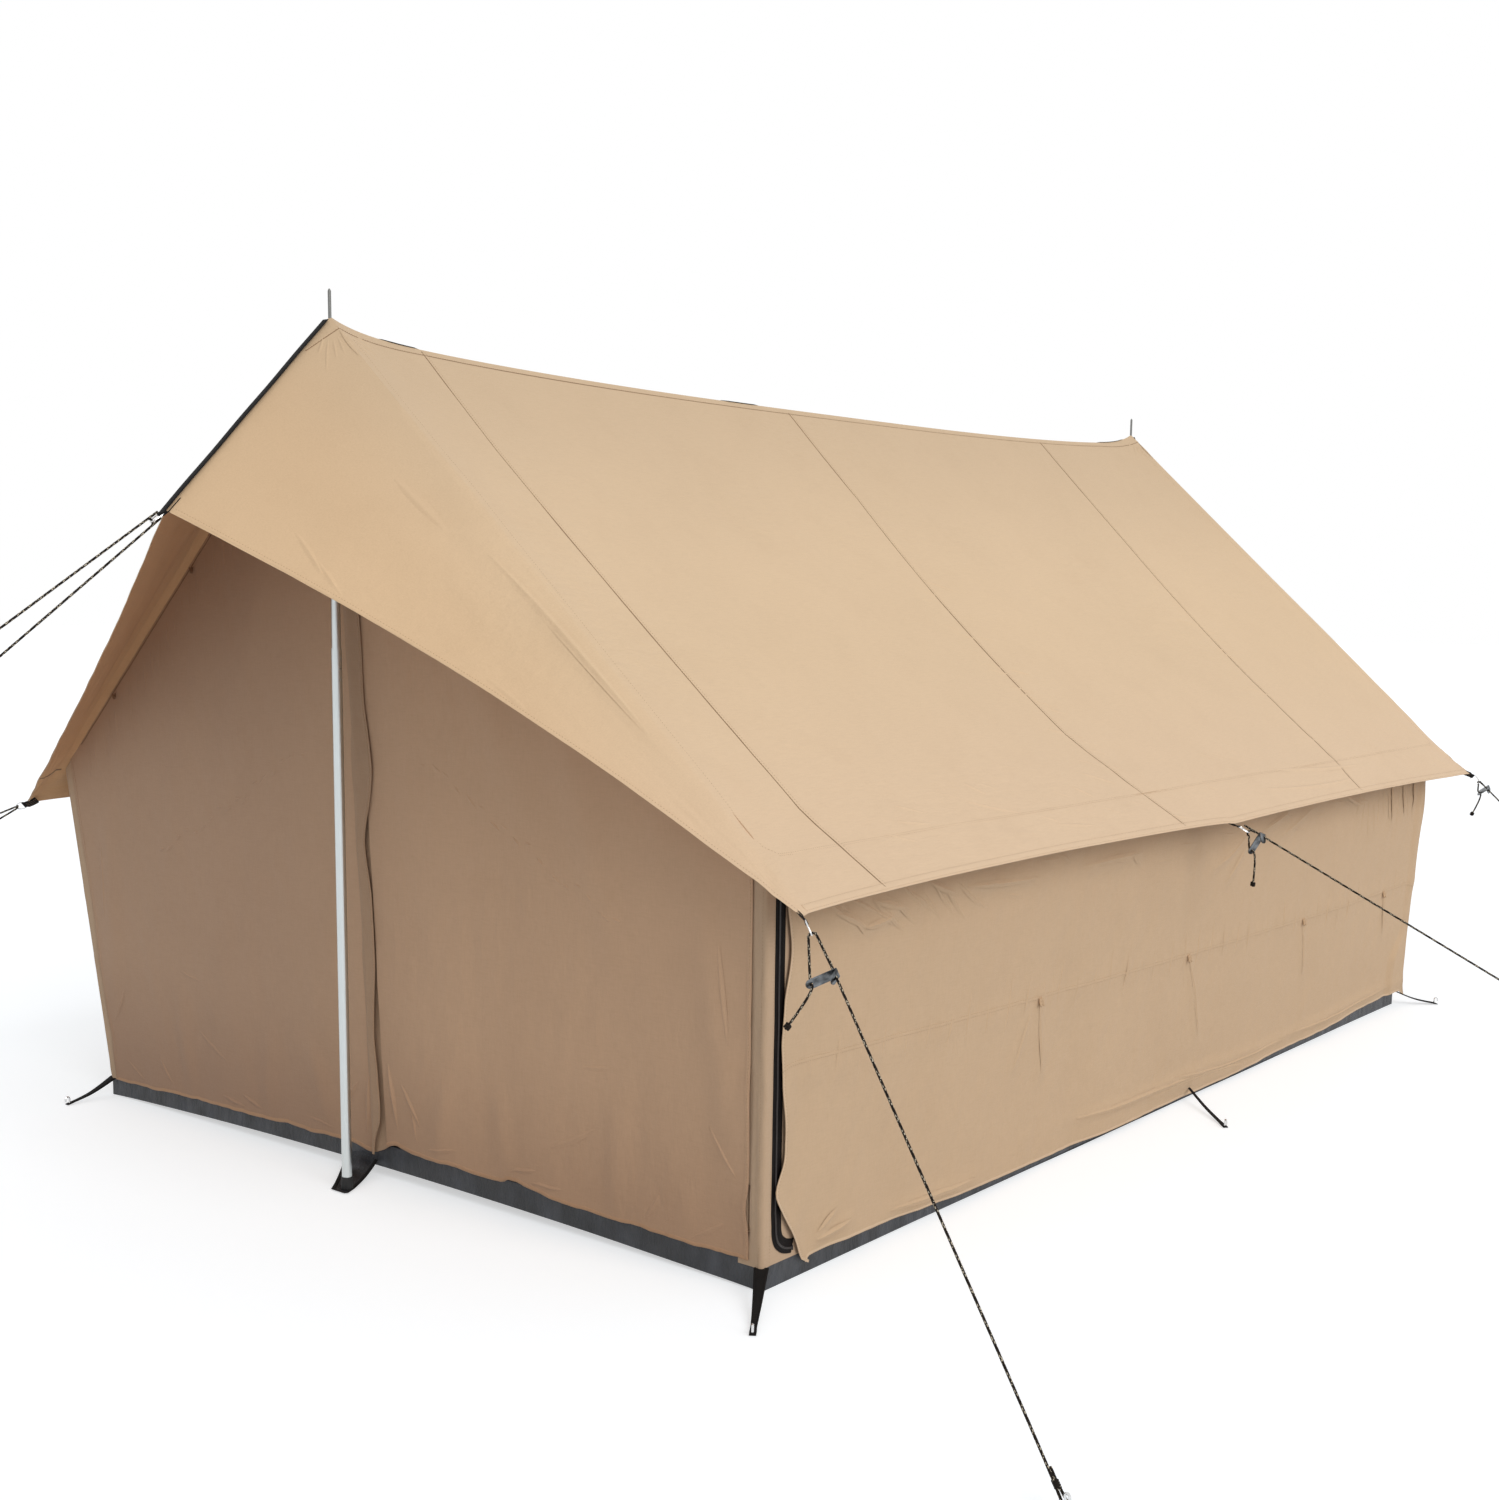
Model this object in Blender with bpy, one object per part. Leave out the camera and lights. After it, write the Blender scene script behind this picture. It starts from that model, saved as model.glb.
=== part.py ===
"""Two-pole ridge tent with a beak over each door: canvas, groundsheet, telescopic poles and guys.

X runs across the tent, Y along its ridge and Z up. The front door faces -Y. The ground is z = 0.
"""

import math

import bmesh
import bpy
from mathutils import Matrix, Vector

# Overall sizes, in metres
GABLE_TOP_Y = 2.262         # outer face of an end wall under the ridge, from the middle of the tent
GABLE_CORNER_Y = 2.235      # the same at the top of a corner
GABLE_TO_POLE = 0.028       # a pole's axis stands this far outside the end wall
POLE_Y = GABLE_TOP_Y + GABLE_TO_POLE
PEAK_Z = 2.420              # top of the roof over a pole
RIDGE_LOW_Z = 2.333         # the ridge hangs down to this height between the poles
BASE_X = 1.3925             # half width over the groundsheet's upstand
BASE_Y = 2.1465             # half length over the groundsheet's upstand
WALL_TOP_X = 1.467          # outer face of a side wall at the roof
WALL_TOP_Z = 1.097          # top edge of a side wall
RIDGE_HANG = 0.55           # share of the ridge's rise that comes as one long curve
PEAK_RISE = 0.45            # share that comes close to the pole
PEAK_WIDTH = 0.045          # how close, as a share of the pole's distance

# Roof
ROOF_T = 0.0026             # roof cloth, measured straight down
EAVE_X = 1.610
EAVE_Z = 0.982
EAVE_END_Y = 2.286
EAVE_SCALLOP_IN = 0.018     # the eave draws in and up between its guys
EAVE_SCALLOP_UP = 0.014
ROOF_SAG = 0.050            # how far a slope hangs in at its middle
BEAK_REACH = 0.529          # from a pole to its beak's tip
BEAK_Y = POLE_Y + BEAK_REACH
BEAK_Z = 1.890
SAG_WAY = (0.65, 0.76)      # the sag's direction: inward and down
EDGE_BOW = 0.050            # curve of a beak's free edge
BOW_WAY = (0.118, 0.75, 0.65)       # the bow's direction: outward, back to the pole and up
MAIN_RIBS = 18
BEAK_RIBS = 5
SLOPE_STEPS = 7
EAVE_STEPS = 2
SPIKE_HOLE_R = 0.0065
SPIKE_CUT_L = 0.080
ROOF_SHARP = math.radians(25.0)     # sharper edges than this stay unsmoothed

# Walls, doors and corners
CLOTH_T = 0.0020
SEAM_GAP = 0.0005           # under the roof along a sewn seam
LAP_GAP = 0.0006            # between two cloths that lie on each other
SEAM_DROP = 0.0012
HEM_Z = 0.060               # height where the leaning walls are measured from
DOOR_SPLIT = 0.0165         # half the gap between two doors, behind the pole
DOOR_HEM_Z = 0.064
DOOR_FOLD = 0.014           # depth of a door's folds at its hem
DOOR_FOLDS = 3.0
WALL_HEM_Z = 0.032
WALL_HEM_RISE = 0.014
WALL_FOLD = 0.012
WALL_FOLDS = 5.0
STRIP_T = 0.0016
STRIP_FRONT = 0.075         # corner strip's leg behind the door
STRIP_SIDE = 0.066          # its leg under the zip
DOOR_TO_CORNER = 0.040      # how much of the strip shows beside the door
WALL_TO_CORNER = 0.062
CLOTH_SHARP = math.radians(40.0)

# Corner zips
ZIP_TAPE_FROM = 0.034       # from the corner to the tape's near edge
ZIP_TAPE_W = 0.026
ZIP_TAPE_T = 0.0008
ZIP_COIL_W = 0.006
ZIP_COIL_T = 0.0024
ZIP_COIL_TOP = 0.6          # share of the coil's width that is flat on top
ZIP_BOTTOM_Z = 0.085
ZIP_TOP_Z = 1.074
SLIDER_Z = 1.040            # parked under the eave
SLIDER_L = 0.016
SLIDER_W = 0.0125
SLIDER_T = 0.0016
SLIDER_GAP = 0.0004
PULL_L = 0.030
PULL_W = 0.008
PULL_T = 0.0014
PULL_SINK = 0.1             # share of its thickness that the pull is let into the slider
SLIDER_TOP = 0.8            # share of the slider's width that is flat on top

# Groundsheet
SHEET_T = 0.002
UPSTAND_Z = 0.100
STRAP_W = 0.028
STRAP_TIP_W = 0.016
STRAP_T = 0.003
STRAP_ROOT_IN = 0.010       # a corner strap starts this far inside the sheet's corner
STRAP_UNDER = 0.020         # and runs on this far under the sheet
PEG_EYE_R = 0.0035
PEG_EYE_CUT_L = 0.020
GUSSET_W = 0.126
GUSSET_SIDE = 0.108         # its root lies beside the pole, at the end of the door's opening
GUSSET_TIP_W = 0.056
GUSSET_PAST_POLE = 0.030
FRONT_RIGHT_PEG = (1.540, -2.365)
FRONT_LEFT_PEG = (-1.386, -2.313)
BACK_RIGHT_PEG = (1.530, 2.262)
BACK_LEFT_PEG = (-1.499, 2.309)
MID_STRAP_Y = 0.200
MID_PEG = (1.646, -0.050)

# Poles
UPPER_R = 0.0127
UPPER_WALL = 0.0012
LOWER_WALL = 0.0012
TUBE_CLEAR = 0.0004         # between the upper tube and the lower tube's bore
LOWER_R = UPPER_R + TUBE_CLEAR + LOWER_WALL
JOINT_Z = 1.537             # mouth of the lower tube
UPPER_INSERT = 0.157        # upper tube inside the lower one at rest
FOOT_WALL = 0.0032
FOOT_R = LOWER_R + FOOT_WALL
FOOT_H = 0.036
FOOT_FLOOR = 0.005
FOOT_CLEAR = 0.0003
FOOT_CHAMFER = 0.002
FOOT_TAPER = 0.0012
FOOT_STRAIGHT = 0.55        # share of the foot's height before it tapers
SPIKE_R = 0.0045
SPIKE_H = 0.072             # spike above the roof
SPIKE_POINT_H = 0.006
SPIKE_POINT = 0.35          # share of the spike's radius at its blunt point
PLUG_STEEPER = 1.01         # the plug's cone falls this much faster than the roof round it
PLUG_CLEAR = 0.0006
PLUG_DEPTH = 0.040
PLUG_SEAT = 0.0003          # seating gaps of the plug and of the spring clip in the tube
BUTTON_Z = 1.480
BUTTON_R = 0.0030
BUTTON_PROUD = 0.0020
BUTTON_ROUND_H = 0.0012
BUTTON_ROUND = 0.7          # share of the button's radius at its end
HOLE_R = 0.0034
HOLE_STEP = 0.028
HOLE_CUT_L = 0.012
CLIP_W = 0.007
CLIP_T = 0.0009
CLIP_LEG = 0.050
CLIP_TOP = 0.35             # how far the button's leg stands above it, as a share of the leg
TUBE_SIDES = 24
TUBE_SHARP = math.radians(40.0)

# Ridge straps, rings, ropes, runners and pegs
WEB_T = 0.0018
WEB_W = 0.025
WEB_GAP = 0.0004
WEB_START = 0.012           # from the pole's axis to the strap's end
TAB_W = 0.018
TAB_T = 0.0024
TAB_IN = 0.014
SLEEVE_AT = 0.0165          # from the edge of the roof to the ring's bar
SLEEVE_R = 0.0046
SLEEVE_BORE_R = 0.0026
SLEEVE_W = 0.016
SLEEVE_SIDES = 12
RING_WIRE_R = 0.0020
RING_SEAT = 0.0003
RING_BAR_HALF = 0.0105      # straight part of the bar, past the sleeve's ends
RING_HALF_W = 0.0125
RING_DEPTH = 0.036
RING_SHOULDER = 0.15        # share of the depth at which the bow starts
ROPE_R = 0.00275
ROPE_TURN_R = 0.010
ROPE_CLEAR = 0.0004
KNOT_SCALE = 2.4
KNOT_END = 0.8              # share of the knot's thickness at the rope's very end
TAIL_L = 0.115
TAIL_BEND = 0.014
EYE_R = 0.012               # eye at the rope's far end
EYE_THROAT = 0.060          # from the eye's middle to where its tail is tied
EYE_OPEN = math.radians(128.0)      # turn of the eye to each side of the line
EYE_TAIL_L = 0.010
EYE_TAIL_GAP = 0.0012
RUNNER_SPAN = 0.056         # from the line hole to the tail hole
LINE_HOLE_SIDE = 0.012      # from a guy's own line to the runner's line hole
RUNNER_W = 0.028
RUNNER_T = 0.0022
RUNNER_LINE_END = 0.008     # from the line hole to the bend
RUNNER_TAIL_END = 0.014
RUNNER_HOLE_R = 0.0034
RUNNER_WING_L = 0.034
RUNNER_WING_IN = 0.002      # the wing is this much narrower than the plate
RUNNER_BEND = math.radians(45.0)    # between the plate and its wing
RUNNER_CUT_FROM = 0.010     # the line's hole is cut from here before the plate
RUNNER_CUT_TO = 0.030       # to here past it, through the wing
THROUGH = RUNNER_T * 2      # straight rope on each side of a hole
PEG_R = 0.0030
PEG_H = 0.020
PEG_BEND_R = 0.007
PEG_DROP = 0.008
GUY_PEG_H = 0.040

# Where each guy is pulled to
CORNER_AIM = (2.520, 2.660, 0.020)
MIDDLE_AIM = (3.260, 0.560, 0.020)
LEFT_AIM = (4.170, 2.970, 0.000)
BEAK_AIM = (0.0, 5.680, 0.000)
CORNER_LOOP = 0.106         # from the rope's turn in the ring to the runner
SHORT_LOOP = 0.031
BEAK_LOOP = 0.586
FREE_RUN = 0.110            # line past the runner of a guy that leads out of sight
CORNER_ROLL = math.radians(35.0)   # a corner runner's tail hole hangs this far below level
MIDDLE_ROLL = math.radians(90.0)
CORNER_TILT = math.radians(20.0)   # the runner's plate leans this far from square to its line
MIDDLE_TILT = math.radians(40.0)
CORNER_DROOP = (0.0, 0.87)         # a tail's lean along the guy and toward its tail hole, for 1 down
MIDDLE_DROOP = (0.25, 0.35)

FRONT = -1.0
BACK = 1.0
LEFT = -1.0
RIGHT = 1.0
END_NAME = {FRONT: "front", BACK: "back"}
SIDE_NAME = {LEFT: "left", RIGHT: "right"}


def clear_scene():
    for obj in list(bpy.data.objects):
        bpy.data.objects.remove(obj, do_unlink=True)


def material(name, colour, roughness, metallic=0.0):
    mat = bpy.data.materials.new(name)
    mat.use_nodes = True
    shader = mat.node_tree.nodes["Principled BSDF"]
    shader.inputs["Base Color"].default_value = (*colour, 1.0)
    shader.inputs["Roughness"].default_value = roughness
    shader.inputs["Metallic"].default_value = metallic
    mat.diffuse_color = (*colour, 1.0)
    return mat


def place(name, data, mat, origin=(0.0, 0.0, 0.0)):
    """Add an object whose data is already measured from its origin."""
    obj = bpy.data.objects.new(name, data)
    obj.location = origin
    data.materials.append(mat)
    bpy.context.scene.collection.objects.link(obj)
    return obj


def solid(name, verts, faces, mat, origin=(0.0, 0.0, 0.0), smooth_angle=None):
    """Make one closed mesh with its faces pointing out; verts are world points."""
    base = Vector(origin)
    mesh = bpy.data.meshes.new(name)
    mesh.from_pydata([Vector(v) - base for v in verts], [], faces)
    bm = bmesh.new()
    bm.from_mesh(mesh)
    bmesh.ops.recalc_face_normals(bm, faces=bm.faces)
    bm.to_mesh(mesh)
    bm.free()
    if smooth_angle is not None:
        mesh.shade_smooth()
        mesh.set_sharp_from_angle(angle=smooth_angle)
    return place(name, mesh, mat, origin)


def cutter(name, verts, faces, mat):
    """A solid that only cuts or joins another one."""
    obj = solid(name, verts, faces, mat)
    obj.hide_render = True
    obj.display_type = "WIRE"
    return obj


def combine(obj, tool, operation):
    mod = obj.modifiers.new(tool.name, "BOOLEAN")
    mod.object = tool
    mod.operation = operation
    mod.solver = "EXACT"


def shell(outer, inner):
    """Vertices and faces of the closed body between two grids of points."""
    rows = len(outer)
    cols = len(outer[0])
    verts = [p for row in outer for p in row] + [p for row in inner for p in row]
    half = rows * cols

    def at(i, j, layer):
        return layer * half + i * cols + j

    faces = []
    for i in range(rows - 1):
        for j in range(cols - 1):
            quad = [(i, j), (i + 1, j), (i + 1, j + 1), (i, j + 1)]
            faces.append([at(a, b, 0) for a, b in quad])
            faces.append([at(a, b, 1) for a, b in reversed(quad)])
    rim = [(i, 0) for i in range(rows)]
    rim += [(rows - 1, j) for j in range(1, cols)]
    rim += [(i, cols - 1) for i in range(rows - 2, -1, -1)]
    rim += [(0, j) for j in range(cols - 2, 0, -1)]
    for here, there in zip(rim, rim[1:] + rim[:1]):
        faces.append([at(*here, 0), at(*there, 0), at(*there, 1), at(*here, 1)])
    return verts, faces


def sweep(sections):
    """Vertices and faces of a closed body through like polygons."""
    count = len(sections[0])
    verts = [p for section in sections for p in section]
    faces = [list(range(count)), [(len(sections) - 1) * count + k for k in range(count)]]
    for s in range(len(sections) - 1):
        for k in range(count):
            nxt = (k + 1) % count
            faces.append([s * count + k, s * count + nxt, (s + 1) * count + nxt, (s + 1) * count + k])
    return verts, faces


def turned(profile, frame, sides, ring=False):
    """Turn (radius, height) points about the frame's Z axis; a ring has no points on the axis."""
    verts = []
    index = []
    for radius, height in profile:
        if radius == 0.0:
            index.append([len(verts)] * sides)
            verts.append(frame @ Vector((0.0, 0.0, height)))
        else:
            index.append([len(verts) + k for k in range(sides)])
            for k in range(sides):
                turn = math.tau * k / sides
                verts.append(frame @ Vector((radius * math.cos(turn), radius * math.sin(turn), height)))
    faces = []
    pairs = list(zip(index, index[1:]))
    if ring:
        pairs.append((index[-1], index[0]))
    for low, high in pairs:
        for k in range(sides):
            nxt = (k + 1) % sides
            corners = [low[k], low[nxt], high[nxt], high[k]]
            face = [c for n, c in enumerate(corners) if c not in corners[:n]]
            faces.append(face)
    return verts, faces


def frame_at(point, x_dir, y_dir, z_dir):
    """Local-to-world matrix from an origin and three axes."""
    rows = Matrix((x_dir, y_dir, z_dir)).transposed().to_4x4()
    return Matrix.Translation(Vector(point)) @ rows


def upright(x, y, z):
    return Matrix.Translation(Vector((x, y, z)))


def box_points(frame, size, centre=(0.0, 0.0, 0.0)):
    """A box of the given size as two like sections along the frame's Z."""
    hx, hy, hz = (s / 2 for s in size)
    c = Vector(centre)
    corners = [(-hx, -hy), (hx, -hy), (hx, hy), (-hx, hy)]
    return [[frame @ (c + Vector((x, y, z))) for x, y in corners] for z in (-hz, hz)]


def drill(name, frame, radius, length, mat, sides=16):
    """A round cutter centred on the frame's origin, along its Z."""
    profile = [(0.0, -length / 2), (radius, -length / 2), (radius, length / 2), (0.0, length / 2)]
    return cutter(name, *turned(profile, frame, sides), mat)


def wire(name, points, radius, mat, cyclic=False, resolution=2, thick=None, origin=(0.0, 0.0, 0.0)):
    """A round wire or rope through the given points, with filled ends."""
    curve = bpy.data.curves.new(name, "CURVE")
    curve.dimensions = "3D"
    curve.bevel_depth = radius
    curve.bevel_resolution = resolution
    curve.use_fill_caps = True
    spline = curve.splines.new("POLY")
    spline.points.add(len(points) - 1)
    for k, (point, place_at) in enumerate(zip(spline.points, points)):
        point.co = (*(Vector(place_at) - Vector(origin)), 1.0)
        point.radius = thick[k] if thick else 1.0
    spline.use_cyclic_u = cyclic
    return place(name, curve, mat, origin)


# Roof

def ridge_z(y):
    """The ridge hangs between the poles and rises sharply into each peak."""
    t = abs(y) / POLE_Y
    rise = RIDGE_HANG * t**3 + PEAK_RISE * math.exp((t - 1.0) / PEAK_WIDTH)
    return RIDGE_LOW_Z + (PEAK_Z - RIDGE_LOW_Z) * rise


def attach_z():
    """Top of the roof over the top edge of a side wall."""
    return WALL_TOP_Z + SEAM_GAP + ROOF_T


def eave_point(side, y):
    pull = abs(math.sin(math.pi * y / EAVE_END_Y))
    return Vector((side * (EAVE_X - EAVE_SCALLOP_IN * pull), y, EAVE_Z + EAVE_SCALLOP_UP * pull))


def beak_tip(end):
    return Vector((0.0, end * BEAK_Y, BEAK_Z))


def roof_corner(side, end):
    return Vector((side * EAVE_X, end * EAVE_END_Y, EAVE_Z))


def rib_anchors(side, y):
    """Ridge, wall-top and eave points of the cross-section that meets the ridge at y."""
    ridge = Vector((0.0, y, ridge_z(y)))
    along = y * GABLE_CORNER_Y / GABLE_TOP_Y
    top = Vector((side * WALL_TOP_X, along, attach_z()))
    return ridge, top, eave_point(side, along)


def half_rib(side, y, beak_share, end):
    """Points of one cross-section from ridge to eave; beak_share is 0 at the pole and 1 at the tip."""
    ridge, top, eave = rib_anchors(side, y)
    if beak_share > 0.0:
        corner = roof_corner(side, end)
        tip = beak_tip(end)
        edge_top = tip.lerp(corner, WALL_TOP_X / EAVE_X)
        ridge = ridge.lerp(tip, beak_share)
        top = top.lerp(edge_top, beak_share)
        eave = eave.lerp(corner, beak_share)
    sag = ROOF_SAG * max(0.0, 1.0 - (y / GABLE_TOP_Y) ** 2)
    inward = Vector((-SAG_WAY[0] * side, 0.0, -SAG_WAY[1]))
    bow = Vector((BOW_WAY[0] * side, -BOW_WAY[1] * end, BOW_WAY[2])) * EDGE_BOW * beak_share
    points = []
    for k in range(SLOPE_STEPS + EAVE_STEPS + 1):
        if k <= SLOPE_STEPS:
            share = k / SLOPE_STEPS
            point = ridge.lerp(top, share) + inward * sag * math.sin(math.pi * share)
        else:
            point = top.lerp(eave, (k - SLOPE_STEPS) / EAVE_STEPS)
        across = abs(point.x) / EAVE_X
        points.append(point + bow * 4.0 * across * (1.0 - across))
    return points


def roof_ribs():
    """(y on the ridge, share of the beak, end) for each cross-section, from front to back."""
    ribs = []
    for k in range(MAIN_RIBS + 1):
        t = 2.0 * k / MAIN_RIBS - 1.0
        ribs.append((GABLE_TOP_Y * (1.5 * t - 0.5 * t**3), 0.0, BACK if t > 0.0 else FRONT))
    front = [(FRONT * POLE_Y, k / BEAK_RIBS, FRONT) for k in range(BEAK_RIBS, -1, -1)]
    back = [(BACK * POLE_Y, k / BEAK_RIBS, BACK) for k in range(BEAK_RIBS + 1)]
    return front + ribs + back


def build_roof(canvas):
    upper = []
    for y, share, end in roof_ribs():
        left = half_rib(LEFT, y, share, end)
        right = half_rib(RIGHT, y, share, end)
        upper.append(list(reversed(left)) + right[1:])
    lower = [[p - Vector((0.0, 0.0, ROOF_T)) for p in row] for row in upper]
    roof = solid("roof_canopy", *shell(upper, lower), canvas, smooth_angle=ROOF_SHARP)
    for end in (FRONT, BACK):
        peak = upright(0.0, end * POLE_Y, PEAK_Z)
        hole = drill(f"peak_hole_{END_NAME[end]}", peak, SPIKE_HOLE_R, SPIKE_CUT_L, canvas)
        combine(roof, hole, "DIFFERENCE")
    return roof


# Leaning walls, doors and corners

def gable_seam(x):
    """(y, z) of a door's outer face at the roof, both taken as positive."""
    share = abs(x) / WALL_TOP_X
    ridge_end = ridge_z(GABLE_TOP_Y) - ROOF_T - SEAM_GAP
    return (
        GABLE_TOP_Y + (GABLE_CORNER_Y - GABLE_TOP_Y) * share,
        ridge_end + (WALL_TOP_Z - ridge_end) * share,
    )


def lap_stack():
    """From the upstand's outer face to the outer face of the cloth that hangs over the corner strip."""
    return SLIDER_GAP + STRIP_T + LAP_GAP + CLOTH_T


def door_y(x, z):
    """Distance of a door's outer face from the middle of the tent."""
    seam_y, seam_z = gable_seam(x)
    hem_y = BASE_Y + lap_stack()
    return hem_y + (seam_y - hem_y) * (z - HEM_Z) / (seam_z - HEM_Z)


def wall_x(z):
    """Distance of a side wall's outer face from the middle of the tent."""
    hem_x = BASE_X + lap_stack()
    return hem_x + (WALL_TOP_X - hem_x) * (z - HEM_Z) / (WALL_TOP_Z - HEM_Z)


def strip_x(z):
    """Outer face of a corner strip's side leg."""
    return wall_x(z) - CLOTH_T - LAP_GAP


def strip_y(x, z):
    """Outer face of a corner strip's front leg."""
    return door_y(x, z) - CLOTH_T - LAP_GAP


def build_door(side, end, canvas):
    """One half of an end wall, sewn to the roof along its slope and free on its other edges."""
    columns = 12
    rows = 8
    outer = []
    inner = []
    x_foot = strip_x(DOOR_HEM_Z) - DOOR_TO_CORNER
    x_head = strip_x(WALL_TOP_Z) - DOOR_TO_CORNER
    for i in range(rows + 1):
        up = i / rows
        outer_row = []
        inner_row = []
        for j in range(columns + 1):
            across = j / columns
            foot_x = DOOR_SPLIT + (x_foot - DOOR_SPLIT) * across
            head_x = DOOR_SPLIT + (x_head - DOOR_SPLIT) * across
            head_z = gable_seam(head_x)[1]
            x = foot_x + (head_x - foot_x) * up
            z = DOOR_HEM_Z + (head_z - DOOR_HEM_Z) * up
            wave = 0.5 - 0.5 * math.cos(math.tau * DOOR_FOLDS * across)
            fold = DOOR_FOLD * wave * (1.0 - up) ** 2 * math.sin(math.pi * across)
            y = door_y(x, z) + fold
            outer_row.append((side * x, end * y, z))
            inner_row.append((side * x, end * (y - CLOTH_T), z - SEAM_DROP * up))
        outer.append(outer_row)
        inner.append(inner_row)
    seam_y, seam_z = gable_seam(DOOR_SPLIT)
    hinge = (side * DOOR_SPLIT, end * seam_y, seam_z)
    name = f"{END_NAME[end]}_{SIDE_NAME[side]}_door"
    return solid(name, *shell(outer, inner), canvas, hinge, CLOTH_SHARP)


def build_side_wall(side, canvas):
    columns = 24
    rows = 6
    outer = []
    inner = []
    for i in range(rows + 1):
        up = i / rows
        outer_row = []
        inner_row = []
        for j in range(columns + 1):
            along = 2.0 * j / columns - 1.0
            hem = WALL_HEM_Z + WALL_HEM_RISE * along**2
            z = hem + (WALL_TOP_Z - hem) * up
            corner_y = strip_y(strip_x(z), z)
            y = along * (corner_y - WALL_TO_CORNER)
            wave = 0.5 - 0.5 * math.cos(math.pi * WALL_FOLDS * along)
            x = wall_x(z) + WALL_FOLD * wave * (1.0 - up) * (1.0 - along**4)
            outer_row.append((side * x, y, z))
            inner_row.append((side * (x - CLOTH_T), y, z))
        outer.append(outer_row)
        inner.append(inner_row)
    hinge = (side * WALL_TOP_X, 0.0, WALL_TOP_Z)
    return solid(f"{SIDE_NAME[side]}_wall", *shell(outer, inner), canvas, hinge, CLOTH_SHARP)


def build_corner_strip(side, end, canvas):
    """Canvas angle that closes a corner behind the door's edge and carries the zip."""
    levels = 6
    sections = []
    for k in range(levels + 1):
        up = k / levels
        corner_x = strip_x(HEM_Z + (WALL_TOP_Z - HEM_Z) * up)

        def height(x):
            return HEM_Z + (gable_seam(x)[1] - SEAM_DROP - HEM_Z) * up

        z_corner = HEM_Z + (WALL_TOP_Z - SEAM_DROP - HEM_Z) * up
        x_leg = corner_x - STRIP_FRONT
        z_leg = height(x_leg)
        y_corner = strip_y(corner_x, z_corner)
        y_side = y_corner - STRIP_SIDE
        section = [
            (corner_x, y_corner, z_corner),
            (corner_x, y_side, z_corner),
            (corner_x - STRIP_T, y_side, z_corner),
            (corner_x - STRIP_T, y_corner - STRIP_T, z_corner),
            (x_leg, strip_y(x_leg, z_leg) - STRIP_T, z_leg),
            (x_leg, strip_y(x_leg, z_leg), z_leg),
        ]
        sections.append([(side * x, end * y, z) for x, y, z in section])
    return solid(f"corner_strip_{END_NAME[end]}_{SIDE_NAME[side]}", *sweep(sections), canvas)


def zip_line(z):
    """(x, y) of the strip's face under the middle of a corner zip, both positive."""
    y_corner = strip_y(strip_x(z), z)
    return strip_x(z), y_corner - ZIP_TAPE_FROM - ZIP_TAPE_W / 2


def zip_frame(side, end, z):
    """Origin on the strip under the coil, X outward, Y to the wall, Z up along the zip."""
    low = zip_line(ZIP_BOTTOM_Z)
    high = zip_line(ZIP_TOP_Z)
    share = (z - ZIP_BOTTOM_Z) / (ZIP_TOP_Z - ZIP_BOTTOM_Z)
    x = low[0] + (high[0] - low[0]) * share
    y = low[1] + (high[1] - low[1]) * share
    rise = Vector((side * (high[0] - low[0]), end * (high[1] - low[1]), ZIP_TOP_Z - ZIP_BOTTOM_Z))
    rise.normalize()
    to_wall = Vector((0.0, -end, 0.0))
    to_wall = (to_wall - rise * to_wall.dot(rise)).normalized()
    outward = to_wall.cross(rise)
    if outward.x * side < 0.0:
        outward.negate()
    return frame_at((side * x, end * y, z), outward, to_wall, rise)


def zip_levels():
    """Heights of the coil and tape faces above the strip."""
    tape_low = SEAM_GAP
    tape_high = tape_low + ZIP_TAPE_T
    return tape_low, tape_high, tape_high + ZIP_COIL_T


def build_zip(side, end, black):
    low, tape, coil = zip_levels()
    half_tape = ZIP_TAPE_W / 2
    half_coil = ZIP_COIL_W / 2
    outline = [
        (low, -half_tape), (low, half_tape), (tape, half_tape), (tape, half_coil),
        (coil, half_coil * ZIP_COIL_TOP), (coil, -half_coil * ZIP_COIL_TOP), (tape, -half_coil),
        (tape, -half_tape),
    ]
    sections = []
    for z in (ZIP_BOTTOM_Z, ZIP_TOP_Z):
        frame = zip_frame(side, end, z)
        sections.append([frame @ Vector((x, y, 0.0)) for x, y in outline])
    return solid(f"corner_zip_{END_NAME[end]}_{SIDE_NAME[side]}", *sweep(sections), black)


def build_slider(side, end, metal):
    """Slider body that straddles the coil, with its pull hanging over the closed teeth."""
    _, tape, coil = zip_levels()
    frame = zip_frame(side, end, SLIDER_Z)
    low = tape + SLIDER_GAP
    bridge = coil + SLIDER_GAP
    top = bridge + SLIDER_T
    half = SLIDER_W / 2
    channel = ZIP_COIL_W / 2 + SLIDER_GAP
    outline = [
        (low, -half), (low, -channel), (bridge, -channel), (bridge, channel),
        (low, channel), (low, half), (top, half * SLIDER_TOP), (top, -half * SLIDER_TOP),
    ]
    levels = (-SLIDER_L / 2, SLIDER_L / 2)
    sections = [[frame @ Vector((x, y, z)) for x, y in outline] for z in levels]
    name = f"zip_slider_{END_NAME[end]}_{SIDE_NAME[side]}"
    slider = solid(name, *sweep(sections), metal, frame.translation)
    middle = (top + PULL_T * (0.5 - PULL_SINK), 0.0, -PULL_L / 2 + SLIDER_L / 4)
    pull = box_points(frame, (PULL_T, PULL_W, PULL_L), middle)
    tool = cutter(f"pull_{END_NAME[end]}_{SIDE_NAME[side]}", *sweep(pull), metal)
    combine(slider, tool, "UNION")
    return slider


# Groundsheet

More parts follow.
